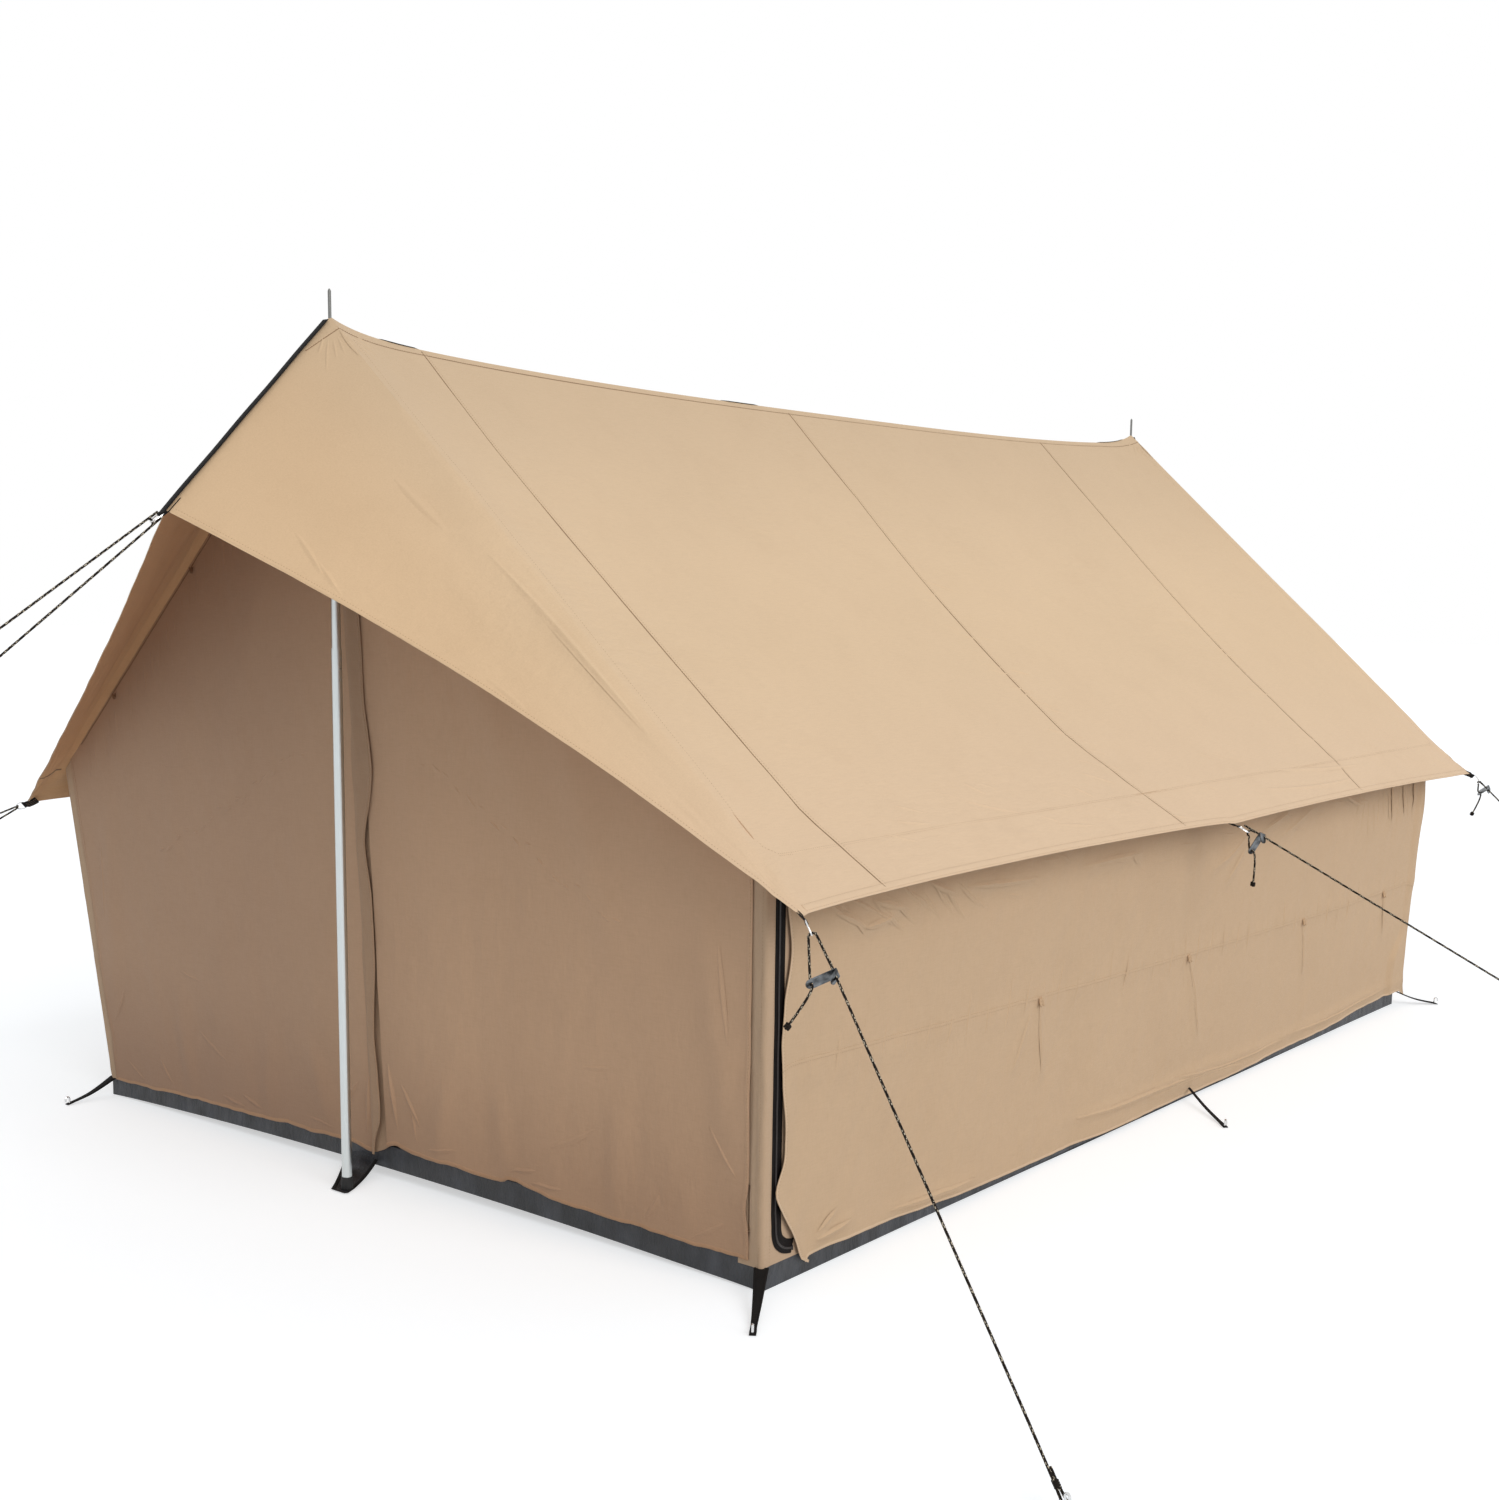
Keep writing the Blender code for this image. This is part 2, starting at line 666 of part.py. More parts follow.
def flat_piece(name, outline, thickness, mat):
    """A flat piece on the ground with the given outline."""
    sections = [[(x, y, z) for x, y in outline] for z in (0.0, thickness)]
    return cutter(name, *sweep(sections), mat)


def strap_outline(start, peg):
    """Tapered webbing from the sheet's edge to just past its peg, with a rounded end."""
    root = Vector(start)
    tip = Vector(peg)
    run = (tip - root).normalized()
    across = Vector((-run.y, run.x))
    outline = [root - across * STRAP_W / 2 - run * STRAP_UNDER]
    steps = 6
    for k in range(steps + 1):
        turn = math.pi * (k / steps - 0.5)
        offset = run * math.cos(turn) + across * math.sin(turn)
        outline.append(tip + offset * STRAP_TIP_W / 2)
    outline.append(root + across * STRAP_W / 2 - run * STRAP_UNDER)
    return [(p.x, p.y) for p in outline]


def peg_places():
    """(name, start of its strap, peg) for the six loops of the groundsheet."""
    corner_pegs = [
        (FRONT, RIGHT, FRONT_RIGHT_PEG), (FRONT, LEFT, FRONT_LEFT_PEG),
        (BACK, RIGHT, BACK_RIGHT_PEG), (BACK, LEFT, BACK_LEFT_PEG),
    ]
    places = []
    for end, side, peg in corner_pegs:
        start = (side * (BASE_X - STRAP_ROOT_IN), end * (BASE_Y - STRAP_ROOT_IN))
        places.append((f"{END_NAME[end]}_{SIDE_NAME[side]}", start, peg))
    for side in (LEFT, RIGHT):
        start = (side * (BASE_X - SHEET_T / 2), MID_STRAP_Y)
        places.append((f"middle_{SIDE_NAME[side]}", start, (side * MID_PEG[0], MID_PEG[1])))
    return places


def build_groundsheet(black):
    """Tray of coated cloth with a turned-up edge, peg straps and a gusset under each pole."""
    outer = [(BASE_X, BASE_Y), (-BASE_X, BASE_Y), (-BASE_X, -BASE_Y), (BASE_X, -BASE_Y)]
    scale_x = (BASE_X - SHEET_T) / BASE_X
    scale_y = (BASE_Y - SHEET_T) / BASE_Y
    inner = [(x * scale_x, y * scale_y) for x, y in outer]
    loops = [
        [(x, y, 0.0) for x, y in outer],
        [(x, y, UPSTAND_Z) for x, y in outer],
        [(x, y, UPSTAND_Z) for x, y in inner],
        [(x, y, SHEET_T) for x, y in inner],
    ]
    sheet = solid("groundsheet", *sweep(loops), black)
    for name, start, peg in peg_places():
        strap = flat_piece(f"peg_strap_{name}", strap_outline(start, peg), STRAP_T, black)
        combine(sheet, strap, "UNION")
        eye = drill(f"peg_eye_{name}", upright(*peg, 0.0), PEG_EYE_R, PEG_EYE_CUT_L, black)
        combine(sheet, eye, "DIFFERENCE")
    for end in (FRONT, BACK):
        root = end * (BASE_Y - SHEET_T / 2)
        tip = end * (POLE_Y + GUSSET_PAST_POLE)
        beside = end * GUSSET_SIDE
        outline = [
            (beside - GUSSET_W / 2, root), (beside + GUSSET_W / 2, root),
            (GUSSET_TIP_W / 2, tip), (-GUSSET_TIP_W / 2, tip),
        ]
        gusset = flat_piece(f"pole_gusset_{END_NAME[end]}", outline, STRAP_T, black)
        combine(sheet, gusset, "UNION")
    return sheet


# Poles

def tube_profile(radius, wall, low, high):
    return [(radius, low), (radius, high), (radius - wall, high), (radius - wall, low)]


def foot_z():
    """Bottom of the rubber foot, on its gusset."""
    return STRAP_T + FOOT_CLEAR


def lower_bottom():
    return foot_z() + FOOT_FLOOR + FOOT_CLEAR


def roof_under_z():
    """Underside of the roof at a pole's axis."""
    return PEAK_Z - ROOF_T


def plug_slope():
    """Fall of the plug's cone: a little steeper than the steepest line of the roof round the pole."""
    side_fall = (PEAK_Z - attach_z()) / WALL_TOP_X
    beak_fall = (PEAK_Z - BEAK_Z) / (BEAK_Y - POLE_Y)
    ridge_fall = (PEAK_Z - ridge_z(GABLE_TOP_Y)) / (POLE_Y - GABLE_TOP_Y)
    return PLUG_STEEPER * math.hypot(side_fall, max(beak_fall, ridge_fall))


def cone_z(radius):
    """Top of the plug's cone at a radius, below the roof all round."""
    return roof_under_z() - PLUG_CLEAR - plug_slope() * radius


def side_frame(y, z):
    """A frame on a pole's axis whose Z points to +X, for cross holes and the button."""
    axes = (Vector((0.0, 1.0, 0.0)), Vector((0.0, 0.0, 1.0)), Vector((1.0, 0.0, 0.0)))
    return frame_at((0.0, y, z), *axes)


def build_pole(end, aluminium, rubber, steel, nylon):
    y = end * POLE_Y
    tag = END_NAME[end]
    centre = upright(0.0, y, 0.0)
    profile = tube_profile(LOWER_R, LOWER_WALL, lower_bottom(), JOINT_Z)
    form = turned(profile, centre, TUBE_SIDES, ring=True)
    lower = solid(f"{tag}_pole_lower_tube", *form, aluminium, smooth_angle=TUBE_SHARP)
    for k in (-1, 0, 1):
        frame = side_frame(y, BUTTON_Z + k * HOLE_STEP)
        frame = frame @ Matrix.Translation((0.0, 0.0, LOWER_R))
        hole = drill(f"{tag}_lower_hole_{k + 1}", frame, HOLE_R, HOLE_CUT_L, aluminium)
        combine(lower, hole, "DIFFERENCE")

    top = cone_z(UPPER_R) - PLUG_SEAT
    bottom = JOINT_Z - UPPER_INSERT
    profile = tube_profile(UPPER_R, UPPER_WALL, bottom, top)
    form = turned(profile, centre, TUBE_SIDES, ring=True)
    upper = solid(f"{tag}_pole_upper_tube", *form, aluminium, (0.0, y, bottom), TUBE_SHARP)
    frame = side_frame(y, BUTTON_Z) @ Matrix.Translation((0.0, 0.0, UPPER_R))
    combine(upper, drill(f"{tag}_upper_hole", frame, HOLE_R, HOLE_CUT_L, aluminium), "DIFFERENCE")

    bore = LOWER_R + FOOT_CLEAR
    base = foot_z()
    foot = [
        (0.0, base), (FOOT_R - FOOT_CHAMFER, base), (FOOT_R, base + FOOT_CHAMFER),
        (FOOT_R, base + FOOT_H * FOOT_STRAIGHT), (FOOT_R - FOOT_TAPER, base + FOOT_H),
        (bore, base + FOOT_H), (bore, base + FOOT_FLOOR), (0.0, base + FOOT_FLOOR),
    ]
    solid(f"{tag}_pole_foot", *turned(foot, centre, TUBE_SIDES), rubber, smooth_angle=TUBE_SHARP)

    stem = UPPER_R - UPPER_WALL - PLUG_SEAT
    seat = top + PLUG_SEAT
    plug = [
        (0.0, top - PLUG_DEPTH), (stem, top - PLUG_DEPTH), (stem, seat), (UPPER_R, seat),
        (SPIKE_R, cone_z(SPIKE_R)), (SPIKE_R, PEAK_Z + SPIKE_H - SPIKE_POINT_H),
        (SPIKE_R * SPIKE_POINT, PEAK_Z + SPIKE_H), (0.0, PEAK_Z + SPIKE_H),
    ]
    solid(f"{tag}_pole_spike_plug", *turned(plug, centre, TUBE_SIDES), nylon, (0.0, y, top), TUBE_SHARP)
    build_snap_clip(tag, y, steel)


def build_snap_clip(tag, y, steel):
    """Sprung U of flat steel in the upper tube whose button locks through both tubes."""
    bore = UPPER_R - UPPER_WALL
    reach = math.sqrt(bore**2 - (CLIP_W / 2) ** 2) - PLUG_SEAT
    steps = 8
    outer = [(reach, CLIP_LEG * CLIP_TOP)]
    inner = [(reach - CLIP_T, CLIP_LEG * CLIP_TOP)]
    for k in range(steps + 1):
        turn = -math.pi * k / steps
        outer.append((reach * math.cos(turn), -CLIP_LEG + reach * math.sin(turn)))
        inner.append(((reach - CLIP_T) * math.cos(turn), -CLIP_LEG + (reach - CLIP_T) * math.sin(turn)))
    outer.append((-reach, 0.0))
    inner.append((-reach + CLIP_T, 0.0))
    outline = outer + list(reversed(inner))
    sections = []
    for half in (-CLIP_W / 2, CLIP_W / 2):
        sections.append([(x, y + half, BUTTON_Z + z) for x, z in outline])
    clip = solid(f"{tag}_pole_snap_clip", *sweep(sections), steel, (0.0, y, BUTTON_Z))
    start = reach - CLIP_T / 2
    tip = LOWER_R + BUTTON_PROUD
    profile = [
        (0.0, start), (BUTTON_R, start), (BUTTON_R, tip - BUTTON_ROUND_H), (BUTTON_R * BUTTON_ROUND, tip),
        (0.0, tip),
    ]
    button = cutter(f"{tag}_button", *turned(profile, side_frame(y, BUTTON_Z), 16), steel)
    combine(clip, button, "UNION")


# Ridge straps, guys and pegs

def guy_axes(anchor, aim, side, roll):
    """Directions along a guy, from its runner's line hole to its tail hole, and across both."""
    along = (aim - anchor).normalized()
    level = Vector((0.0, 0.0, 1.0)).cross(along).normalized()
    up = along.cross(level)
    span = (level * side * math.cos(roll) - up * math.sin(roll)).normalized()
    return along, span, along.cross(span)


def sleeve_seat():
    """How far before the sleeve's axis its webbing ends, inside the sleeve's wall."""
    return (SLEEVE_R + SLEEVE_BORE_R) / 2


def sleeve_points(frame, width):
    """Open tube of webbing round the frame's Z axis."""
    profile = [
        (SLEEVE_R, -width / 2), (SLEEVE_R, width / 2),
        (SLEEVE_BORE_R, width / 2), (SLEEVE_BORE_R, -width / 2),
    ]
    return turned(profile, frame, SLEEVE_SIDES, ring=True)


def add_tab(obj, name, anchor, axes, black):
    """Join a webbing tab and the sleeve at its end to the roof."""
    along, span, across = axes
    frame = frame_at(anchor, across, span, along)
    far = SLEEVE_AT - sleeve_seat()
    middle = (0.0, 0.0, (far - TAB_IN) / 2)
    plate = box_points(frame, (TAB_W, TAB_T, far + TAB_IN), middle)
    combine(obj, cutter(f"{name}_plate", *sweep(plate), black), "UNION")
    sleeve_frame = frame_at(anchor + along * SLEEVE_AT, span, along, across)
    sleeve = cutter(f"{name}_sleeve", *sleeve_points(sleeve_frame, SLEEVE_W), black)
    combine(obj, sleeve, "UNION")


def ring_bar(anchor, axes):
    """Middle of a ring's straight bar, seated against the outer side of its sleeve."""
    return anchor + axes[0] * (SLEEVE_AT + SLEEVE_BORE_R - RING_WIRE_R - RING_SEAT)


def build_ring(name, bar, across, outward, steel):
    """D-shaped ring: a straight bar through the sleeve and a deep bow."""
    points = [bar - across * RING_BAR_HALF, bar + across * RING_BAR_HALF]
    steps = 12
    for k in range(steps + 1):
        turn = math.pi * k / steps
        reach = RING_DEPTH * (RING_SHOULDER + (1.0 - RING_SHOULDER) * math.sin(turn))
        points.append(bar + across * RING_HALF_W * math.cos(turn) + outward * reach)
    return wire(name, points, RING_WIRE_R, steel, cyclic=True, resolution=1, origin=bar)


def eye_loop(end_point, along, across):
    """Eye at the far end of a rope, its tail laid beside the line it comes back to."""
    start = end_point - along * EYE_THROAT
    beside = start + across * (ROPE_R * 2 + EYE_TAIL_GAP)
    points = [beside - along * EYE_TAIL_L, beside]
    steps = 10
    for k in range(steps + 1):
        turn = EYE_OPEN * (1.0 - 2.0 * k / steps)
        points.append(end_point + (along * math.cos(turn) + across * math.sin(turn)) * EYE_R)
    points.append(start)
    return points


def rope_route(anchor, aim, loop, axes, free, lean):
    """A guy rope's points from its far eye to its tail, and the frame of its runner's line hole."""
    along, span, across = axes
    bow = ring_bar(anchor, axes) + along * RING_DEPTH
    centre = bow - along * (RING_WIRE_R + ROPE_R + ROPE_CLEAR - ROPE_TURN_R)
    line_hole = centre + along * loop - span * LINE_HOLE_SIDE
    tail_hole = line_hole + span * RUNNER_SPAN
    through = along * THROUGH
    run = (aim - line_hole).normalized()
    far = line_hole + run * FREE_RUN if free else aim
    level = Vector((0.0, 0.0, 1.0)).cross(run).normalized()
    points = eye_loop(far, run, level)
    points += [line_hole + through, line_hole - through]
    turns = 7
    for k in range(turns + 1):
        turn = math.pi * k / turns
        offset = -span * math.cos(turn) - along * math.sin(turn)
        points.append(centre + offset * ROPE_TURN_R)
    points += [tail_hole - through, tail_hole + through]
    past = points[-1]
    droop = (along * lean[0] + span * lean[1] - Vector((0.0, 0.0, 1.0))).normalized()
    end_point = past + droop * TAIL_L
    bend = past + along * TAIL_BEND
    steps = 5
    for k in range(1, steps + 1):
        t = k / steps
        first = past.lerp(bend, t)
        points.append(first.lerp(bend.lerp(end_point, t), t))
    return points, frame_at(line_hole, span, across, along)


def rope_thickness(points):
    """Rope radius factors: a knot at the end of the tail."""
    thick = [1.0] * len(points)
    thick[-1] = KNOT_SCALE * KNOT_END
    thick[-2] = KNOT_SCALE
    return thick


def plate_sections(frame, length, width, thick):
    """A flat plate from the frame's origin along its X: square at the start and round at the end."""
    radius = width / 2
    outline = [(0.0, radius), (0.0, -radius)]
    steps = 10
    for k in range(steps + 1):
        turn = math.pi * (k / steps - 0.5)
        outline.append((length - radius + radius * math.cos(turn), radius * math.sin(turn)))
    return [[frame @ Vector((x, y, z)) for x, y in outline] for z in (-thick / 2, thick / 2)]


def build_runner(name, hole_frame, tilt, aluminium):
    """Bent plate: the tail passes one end's hole, the line the other's and that of the folded wing."""
    frame = hole_frame @ Matrix.Rotation(tilt, 4, "X")
    bend = frame @ Matrix.Translation((-RUNNER_LINE_END, 0.0, 0.0))
    length = RUNNER_LINE_END + RUNNER_SPAN + RUNNER_TAIL_END
    form = sweep(plate_sections(bend, length, RUNNER_W, RUNNER_T))
    plate = solid(name, *form, aluminium, hole_frame.translation)
    wing_frame = bend @ Matrix.Rotation(-RUNNER_BEND, 4, "Y")
    wing = sweep(plate_sections(wing_frame, RUNNER_WING_L, RUNNER_W - RUNNER_WING_IN, RUNNER_T))
    combine(plate, cutter(f"{name}_wing", *wing, aluminium), "UNION")
    cut = RUNNER_CUT_FROM + RUNNER_CUT_TO
    for place_name, offset in (("line", 0.0), ("tail", RUNNER_SPAN)):
        cut_frame = hole_frame @ Matrix.Translation((offset, 0.0, cut / 2 - RUNNER_CUT_FROM))
        hole = drill(f"{name}_{place_name}_hole", cut_frame, RUNNER_HOLE_R, cut, aluminium, 12)
        combine(plate, hole, "DIFFERENCE")
    return plate


def build_peg(name, foot, lean, height, steel):
    """Wire peg as it shows above the ground: an upright stem bent over into a hook."""
    base = Vector(foot)
    points = [base, base + Vector((0.0, 0.0, height / 2)), base + Vector((0.0, 0.0, height))]
    steps = 6
    centre = points[-1] + lean * PEG_BEND_R
    for k in range(1, steps + 1):
        turn = math.pi * k / steps
        offset = Vector((0.0, 0.0, math.sin(turn))) - lean * math.cos(turn)
        points.append(centre + offset * PEG_BEND_R)
    points.append(points[-1] - Vector((0.0, 0.0, PEG_DROP)))
    return wire(name, points, PEG_R, steel, resolution=1)


def build_ridge_strap(end, black):
    """Webbing down the fold of a beak, ending in the sleeve that holds its ring."""
    peak = Vector((0.0, end * POLE_Y, PEAK_Z))
    tip = beak_tip(end)
    fall = (tip - peak).normalized()
    normal = Vector((0.0, end * -fall.z, abs(fall.y))).normalized()
    across = fall.cross(normal)
    lift = normal * (WEB_GAP + WEB_T / 2)
    start = peak + fall * (WEB_START / abs(fall.y)) + lift
    sleeve_centre = tip + fall * SLEEVE_AT + lift
    finish = sleeve_centre - fall * sleeve_seat()
    frame = frame_at((start + finish) / 2, across, normal, fall)
    length = (finish - start).length
    form = sweep(box_points(frame, (WEB_W, WEB_T, length)))
    strap = solid(f"{END_NAME[end]}_ridge_strap", *form, black)
    sleeve_frame = frame_at(sleeve_centre, normal, fall, across)
    sleeve = cutter(f"{END_NAME[end]}_strap_sleeve", *sleeve_points(sleeve_frame, SLEEVE_W), black)
    combine(strap, sleeve, "UNION")
    return sleeve_centre, across


def build_guys(roof, black, steel, aluminium, rope):
    """Tabs, rings, ropes, runners and guy pegs; the hidden guys keep only tab and ring."""
    aims = {"corner": CORNER_AIM, "middle": MIDDLE_AIM, "left": LEFT_AIM}
    plan = [
        ("front_right", roof_corner(RIGHT, FRONT), "corner", (RIGHT, FRONT), CORNER_LOOP, "peg"),
        ("back_right", roof_corner(RIGHT, BACK), "corner", (RIGHT, BACK), SHORT_LOOP, "peg"),
        ("front_left", roof_corner(LEFT, FRONT), "left", (LEFT, FRONT), CORNER_LOOP, "free"),
        ("back_left", roof_corner(LEFT, BACK), "corner", (LEFT, BACK), None, None),
        ("middle_right", eave_point(RIGHT, 0.0), "middle", (RIGHT, 1.0), SHORT_LOOP, "peg"),
        ("middle_left", eave_point(LEFT, 0.0), "middle", (LEFT, 1.0), None, None),
    ]
    down = Vector((0.0, 0.0, -1.0))
    for name, anchor, kind, (sx, sy), loop, finish in plan:
        x, y, z = aims[kind]
        aim = Vector((sx * x, sy * y, z))
        seat = anchor - Vector((0.0, 0.0, ROOF_T / 2))
        if kind == "middle":
            roll, tilt, lean = MIDDLE_ROLL, MIDDLE_TILT, MIDDLE_DROOP
        else:
            roll, tilt, lean = CORNER_ROLL, -sx * sy * CORNER_TILT, CORNER_DROOP
        axes = guy_axes(seat, aim, sx * sy, roll)
        add_tab(roof, f"guy_tab_{name}", seat, axes, black)
        bar = ring_bar(seat, axes)
        if finish is None:
            hang = (down - axes[2] * down.dot(axes[2])).normalized()
            build_ring(f"guy_ring_{name}", sleeve_rest(seat, axes, hang), axes[2], hang, steel)
            continue
        build_ring(f"guy_ring_{name}", bar, axes[2], axes[0], steel)
        route = rope_route(seat, aim, loop, axes, finish == "free", lean)
        build_rope(name, *route, tilt, rope, aluminium)
        if finish == "peg":
            outward = Vector((axes[0].x, axes[0].y, 0.0))
            reach = EYE_R * outward.length - ROPE_R - PEG_R - ROPE_CLEAR
            outward.normalize()
            foot = Vector((aim.x, aim.y, 0.0)) + outward * reach
            build_peg(f"guy_peg_{name}", foot, outward, GUY_PEG_H, steel)
    for end in (FRONT, BACK):
        sleeve, across = build_ridge_strap(end, black)
        anchor = beak_anchor(sleeve, end)
        if end == BACK:
            seat = sleeve + down * (SLEEVE_BORE_R - RING_WIRE_R - RING_SEAT)
            build_ring("guy_ring_back_beak", seat, across, down, steel)
            continue
        aim = Vector((BEAK_AIM[0], end * BEAK_AIM[1], BEAK_AIM[2]))
        along = (aim - anchor).normalized()
        bar = sleeve + along * (SLEEVE_BORE_R - RING_WIRE_R - RING_SEAT)
        build_ring("guy_ring_front_beak", bar, across, along, steel)
        axes = guy_axes(anchor, aim, 0.0, MIDDLE_ROLL)
        route = rope_route(anchor, aim, BEAK_LOOP, axes, True, MIDDLE_DROOP)
        build_rope("front_beak", *route, 0.0, rope, aluminium)


def sleeve_rest(anchor, axes, hang):
    """Middle of a hanging ring's bar, resting on the low side of its sleeve."""
    return anchor + axes[0] * SLEEVE_AT + hang * (SLEEVE_BORE_R - RING_WIRE_R - RING_SEAT)


def beak_anchor(sleeve, end):
    """Point whose guy passes through the ridge strap's sleeve."""
    aim = Vector((BEAK_AIM[0], end * BEAK_AIM[1], BEAK_AIM[2]))
    return sleeve - (aim - sleeve).normalized() * SLEEVE_AT


def build_rope(name, points, hole_frame, tilt, rope, aluminium):
    wire(f"guy_rope_{name}", points, ROPE_R, rope, thick=rope_thickness(points))
    build_runner(f"guy_runner_{name}", hole_frame, tilt, aluminium)


def main():
    clear_scene()
    canvas_roof = material("canvas_roof", (0.69, 0.52, 0.34), 0.85)
    canvas_wall = material("canvas_wall", (0.55, 0.39, 0.26), 0.88)
    black_web = material("black_webbing", (0.02, 0.02, 0.022), 0.7)
    black_sheet = material("groundsheet_black", (0.03, 0.032, 0.036), 0.5)
    zip_black = material("zip_black", (0.015, 0.015, 0.016), 0.45)
    rubber = material("foot_rubber", (0.02, 0.02, 0.02), 0.8)
    aluminium = material("tube_aluminium", (0.62, 0.65, 0.65), 0.35, 0.9)
    steel = material("bright_steel", (0.72, 0.72, 0.72), 0.25, 1.0)
    nylon = material("plug_nylon", (0.03, 0.03, 0.03), 0.5)
    rope = material("guy_rope", (0.04, 0.038, 0.034), 0.8)

    roof = build_roof(canvas_roof)
    build_groundsheet(black_sheet)
    for side in (LEFT, RIGHT):
        build_side_wall(side, canvas_wall)
        for end in (FRONT, BACK):
            build_door(side, end, canvas_wall)
            build_corner_strip(side, end, canvas_wall)
            build_zip(side, end, zip_black)
            build_slider(side, end, steel)
    for end in (FRONT, BACK):
        build_pole(end, aluminium, rubber, steel, nylon)
    build_guys(roof, black_web, steel, aluminium, rope)
    for name, start, peg in peg_places():
        run = (Vector(peg) - Vector(start)).normalized()
        build_peg(f"base_peg_{name}", (*peg, 0.0), Vector((run.x, run.y, 0.0)), PEG_H, steel)


main()
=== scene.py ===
"""Canvas ridge tent with a beak over each door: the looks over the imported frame.

X runs across the tent, Y along its ridge and Z up, in metres. The front door faces -Y.
"""

import math

import bmesh
import bpy
from mathutils import Matrix, Vector, noise


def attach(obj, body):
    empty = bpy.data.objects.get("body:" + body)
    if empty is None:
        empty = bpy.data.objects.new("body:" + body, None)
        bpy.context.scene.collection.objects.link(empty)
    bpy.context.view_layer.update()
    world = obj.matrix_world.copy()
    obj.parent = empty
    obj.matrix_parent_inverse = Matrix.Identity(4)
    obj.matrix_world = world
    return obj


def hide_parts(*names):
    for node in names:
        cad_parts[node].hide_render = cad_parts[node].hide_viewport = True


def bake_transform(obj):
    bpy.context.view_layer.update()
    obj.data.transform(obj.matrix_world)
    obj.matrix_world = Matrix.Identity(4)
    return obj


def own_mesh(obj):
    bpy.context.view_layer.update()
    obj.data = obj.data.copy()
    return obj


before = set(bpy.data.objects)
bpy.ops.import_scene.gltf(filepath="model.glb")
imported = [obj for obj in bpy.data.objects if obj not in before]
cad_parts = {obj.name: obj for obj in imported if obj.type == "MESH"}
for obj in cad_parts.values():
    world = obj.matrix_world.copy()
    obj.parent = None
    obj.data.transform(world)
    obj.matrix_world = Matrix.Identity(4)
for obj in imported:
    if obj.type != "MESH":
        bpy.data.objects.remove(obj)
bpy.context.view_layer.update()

FRONT = -1.0
BACK = 1.0
LEFT = -1.0
RIGHT = 1.0

# Sizes shared with the solids
POLE_Y = 2.29
PEAK_Z = 2.42
RIDGE_LOW_Z = 2.333
BASE_X = 1.3925
BASE_Y = 2.1465
WALL_TOP_X = 1.467
WALL_TOP_Z = 1.097
GABLE_TOP_Y = 2.262
GABLE_CORNER_Y = 2.235
ROOF_T = 0.0026
SEAM_GAP = 0.0005
EAVE_X = 1.61
EAVE_Z = 0.982
EAVE_END_Y = 2.286
EAVE_SCALLOP_IN = 0.018
EAVE_RISE_FRONT = 0.020     # the front half of an eave is drawn up more than the back half
EAVE_RISE_BACK = 0.008
ROOF_SAG = 0.05
SAG_WAY = (0.65, 0.76)      # the sag's direction: inward and down
BEAK_Y = 2.819
BEAK_Z = 1.89
EDGE_BOW = 0.05
BOW_WAY = (0.118, 0.75, 0.65)       # the bow's direction: outward, back to the pole and up
LAP_STACK = 0.0046          # from the groundsheet's upstand to the outer cloth at a corner
LAP_STEP = 0.0026           # a corner strip's face lies this far behind the cloth over it
HEM_Z = 0.06
DOOR_SPLIT = 0.0165
DOOR_TO_CORNER = 0.04
UPSTAND_Z = 0.1
BASE_PEGS = {
    (FRONT, RIGHT): (1.54, -2.365), (FRONT, LEFT): (-1.386, -2.313),
    (BACK, RIGHT): (1.53, 2.262), (BACK, LEFT): (-1.499, 2.309),
}
MID_STRAP_Y = 0.2
MID_PEG = (1.646, -0.05)
GUSSET_SIDE = 0.108
GUSSET_W = 0.126
GUSSET_TIP_W = 0.056
GUSSET_TIP_Y = POLE_Y + 0.03
SLEEVE_AT = 0.0165
SLEEVE_BORE_R = 0.0026
RING_WIRE_R = 0.002
RING_SEAT = 0.0003
RING_DEPTH = 0.036
ROPE_R = 0.00275
ROPE_TURN_R = 0.01
ROPE_CLEAR = 0.0004
EYE_R = 0.012
RUNNER_SPAN = 0.056
LINE_HOLE_SIDE = 0.012
RUNNER_T = 0.0022
TAIL_L = 0.115
TAIL_BEND = 0.014
FREE_RUN = 0.11

# Measures of the looks alone
LINE_R = 0.0031             # rope with its loose outer strands
UNDERLAP = 0.046            # how far the covered door half runs on behind the other
BEAK_U = 0.26               # length of a beak in the roof's own coordinate
TOP_V = 0.92                # where a slope crosses the top of the side wall
ROOF_SHEET_T = 0.0018
HEM_W = 0.022
HEM_T = 0.001
STITCH = 0.0055
STITCH_GAP = 0.003
PANEL_T = 0.0014            # doors and side walls
STRIP_T = 0.0012            # corner strips, door margins, groundsheet and gussets
SUNK = -0.0002              # under side of a sewn band against the cloth that carries it
FOLD_SUNK = 0.00025         # the edges of a small fold lie this far inside its cloth
FOLD_PROFILE = (-1.0, -0.62, -0.34, -0.12, 0.0, 0.12, 0.34, 0.62, 1.0)
WALL_START = -1.97          # lower front end of a side wall, and its length
WALL_LENGTH = 4.17
MARGIN_COLUMNS = 10
MARGIN_ROWS = 90
HEM_UP = 0.0035             # middle of a foot hem, as a share of the cloth's height
WEB_STITCH = 0.0005         # thickness of the stitches on webbing
KNOT_CORE_R = 0.0042
HALF_TURN = [math.pi * (0.5 - k / 8) for k in range(9)]

END_NAME = {FRONT: "front", BACK: "back"}
SIDE_NAME = {LEFT: "left", RIGHT: "right"}
UP = Vector((0.0, 0.0, 1.0))


def tag_of(side, end):
    return f"{END_NAME[end]}_{SIDE_NAME[side]}"


def clamp(value, low=0.0, high=1.0):
    return max(low, min(high, value))


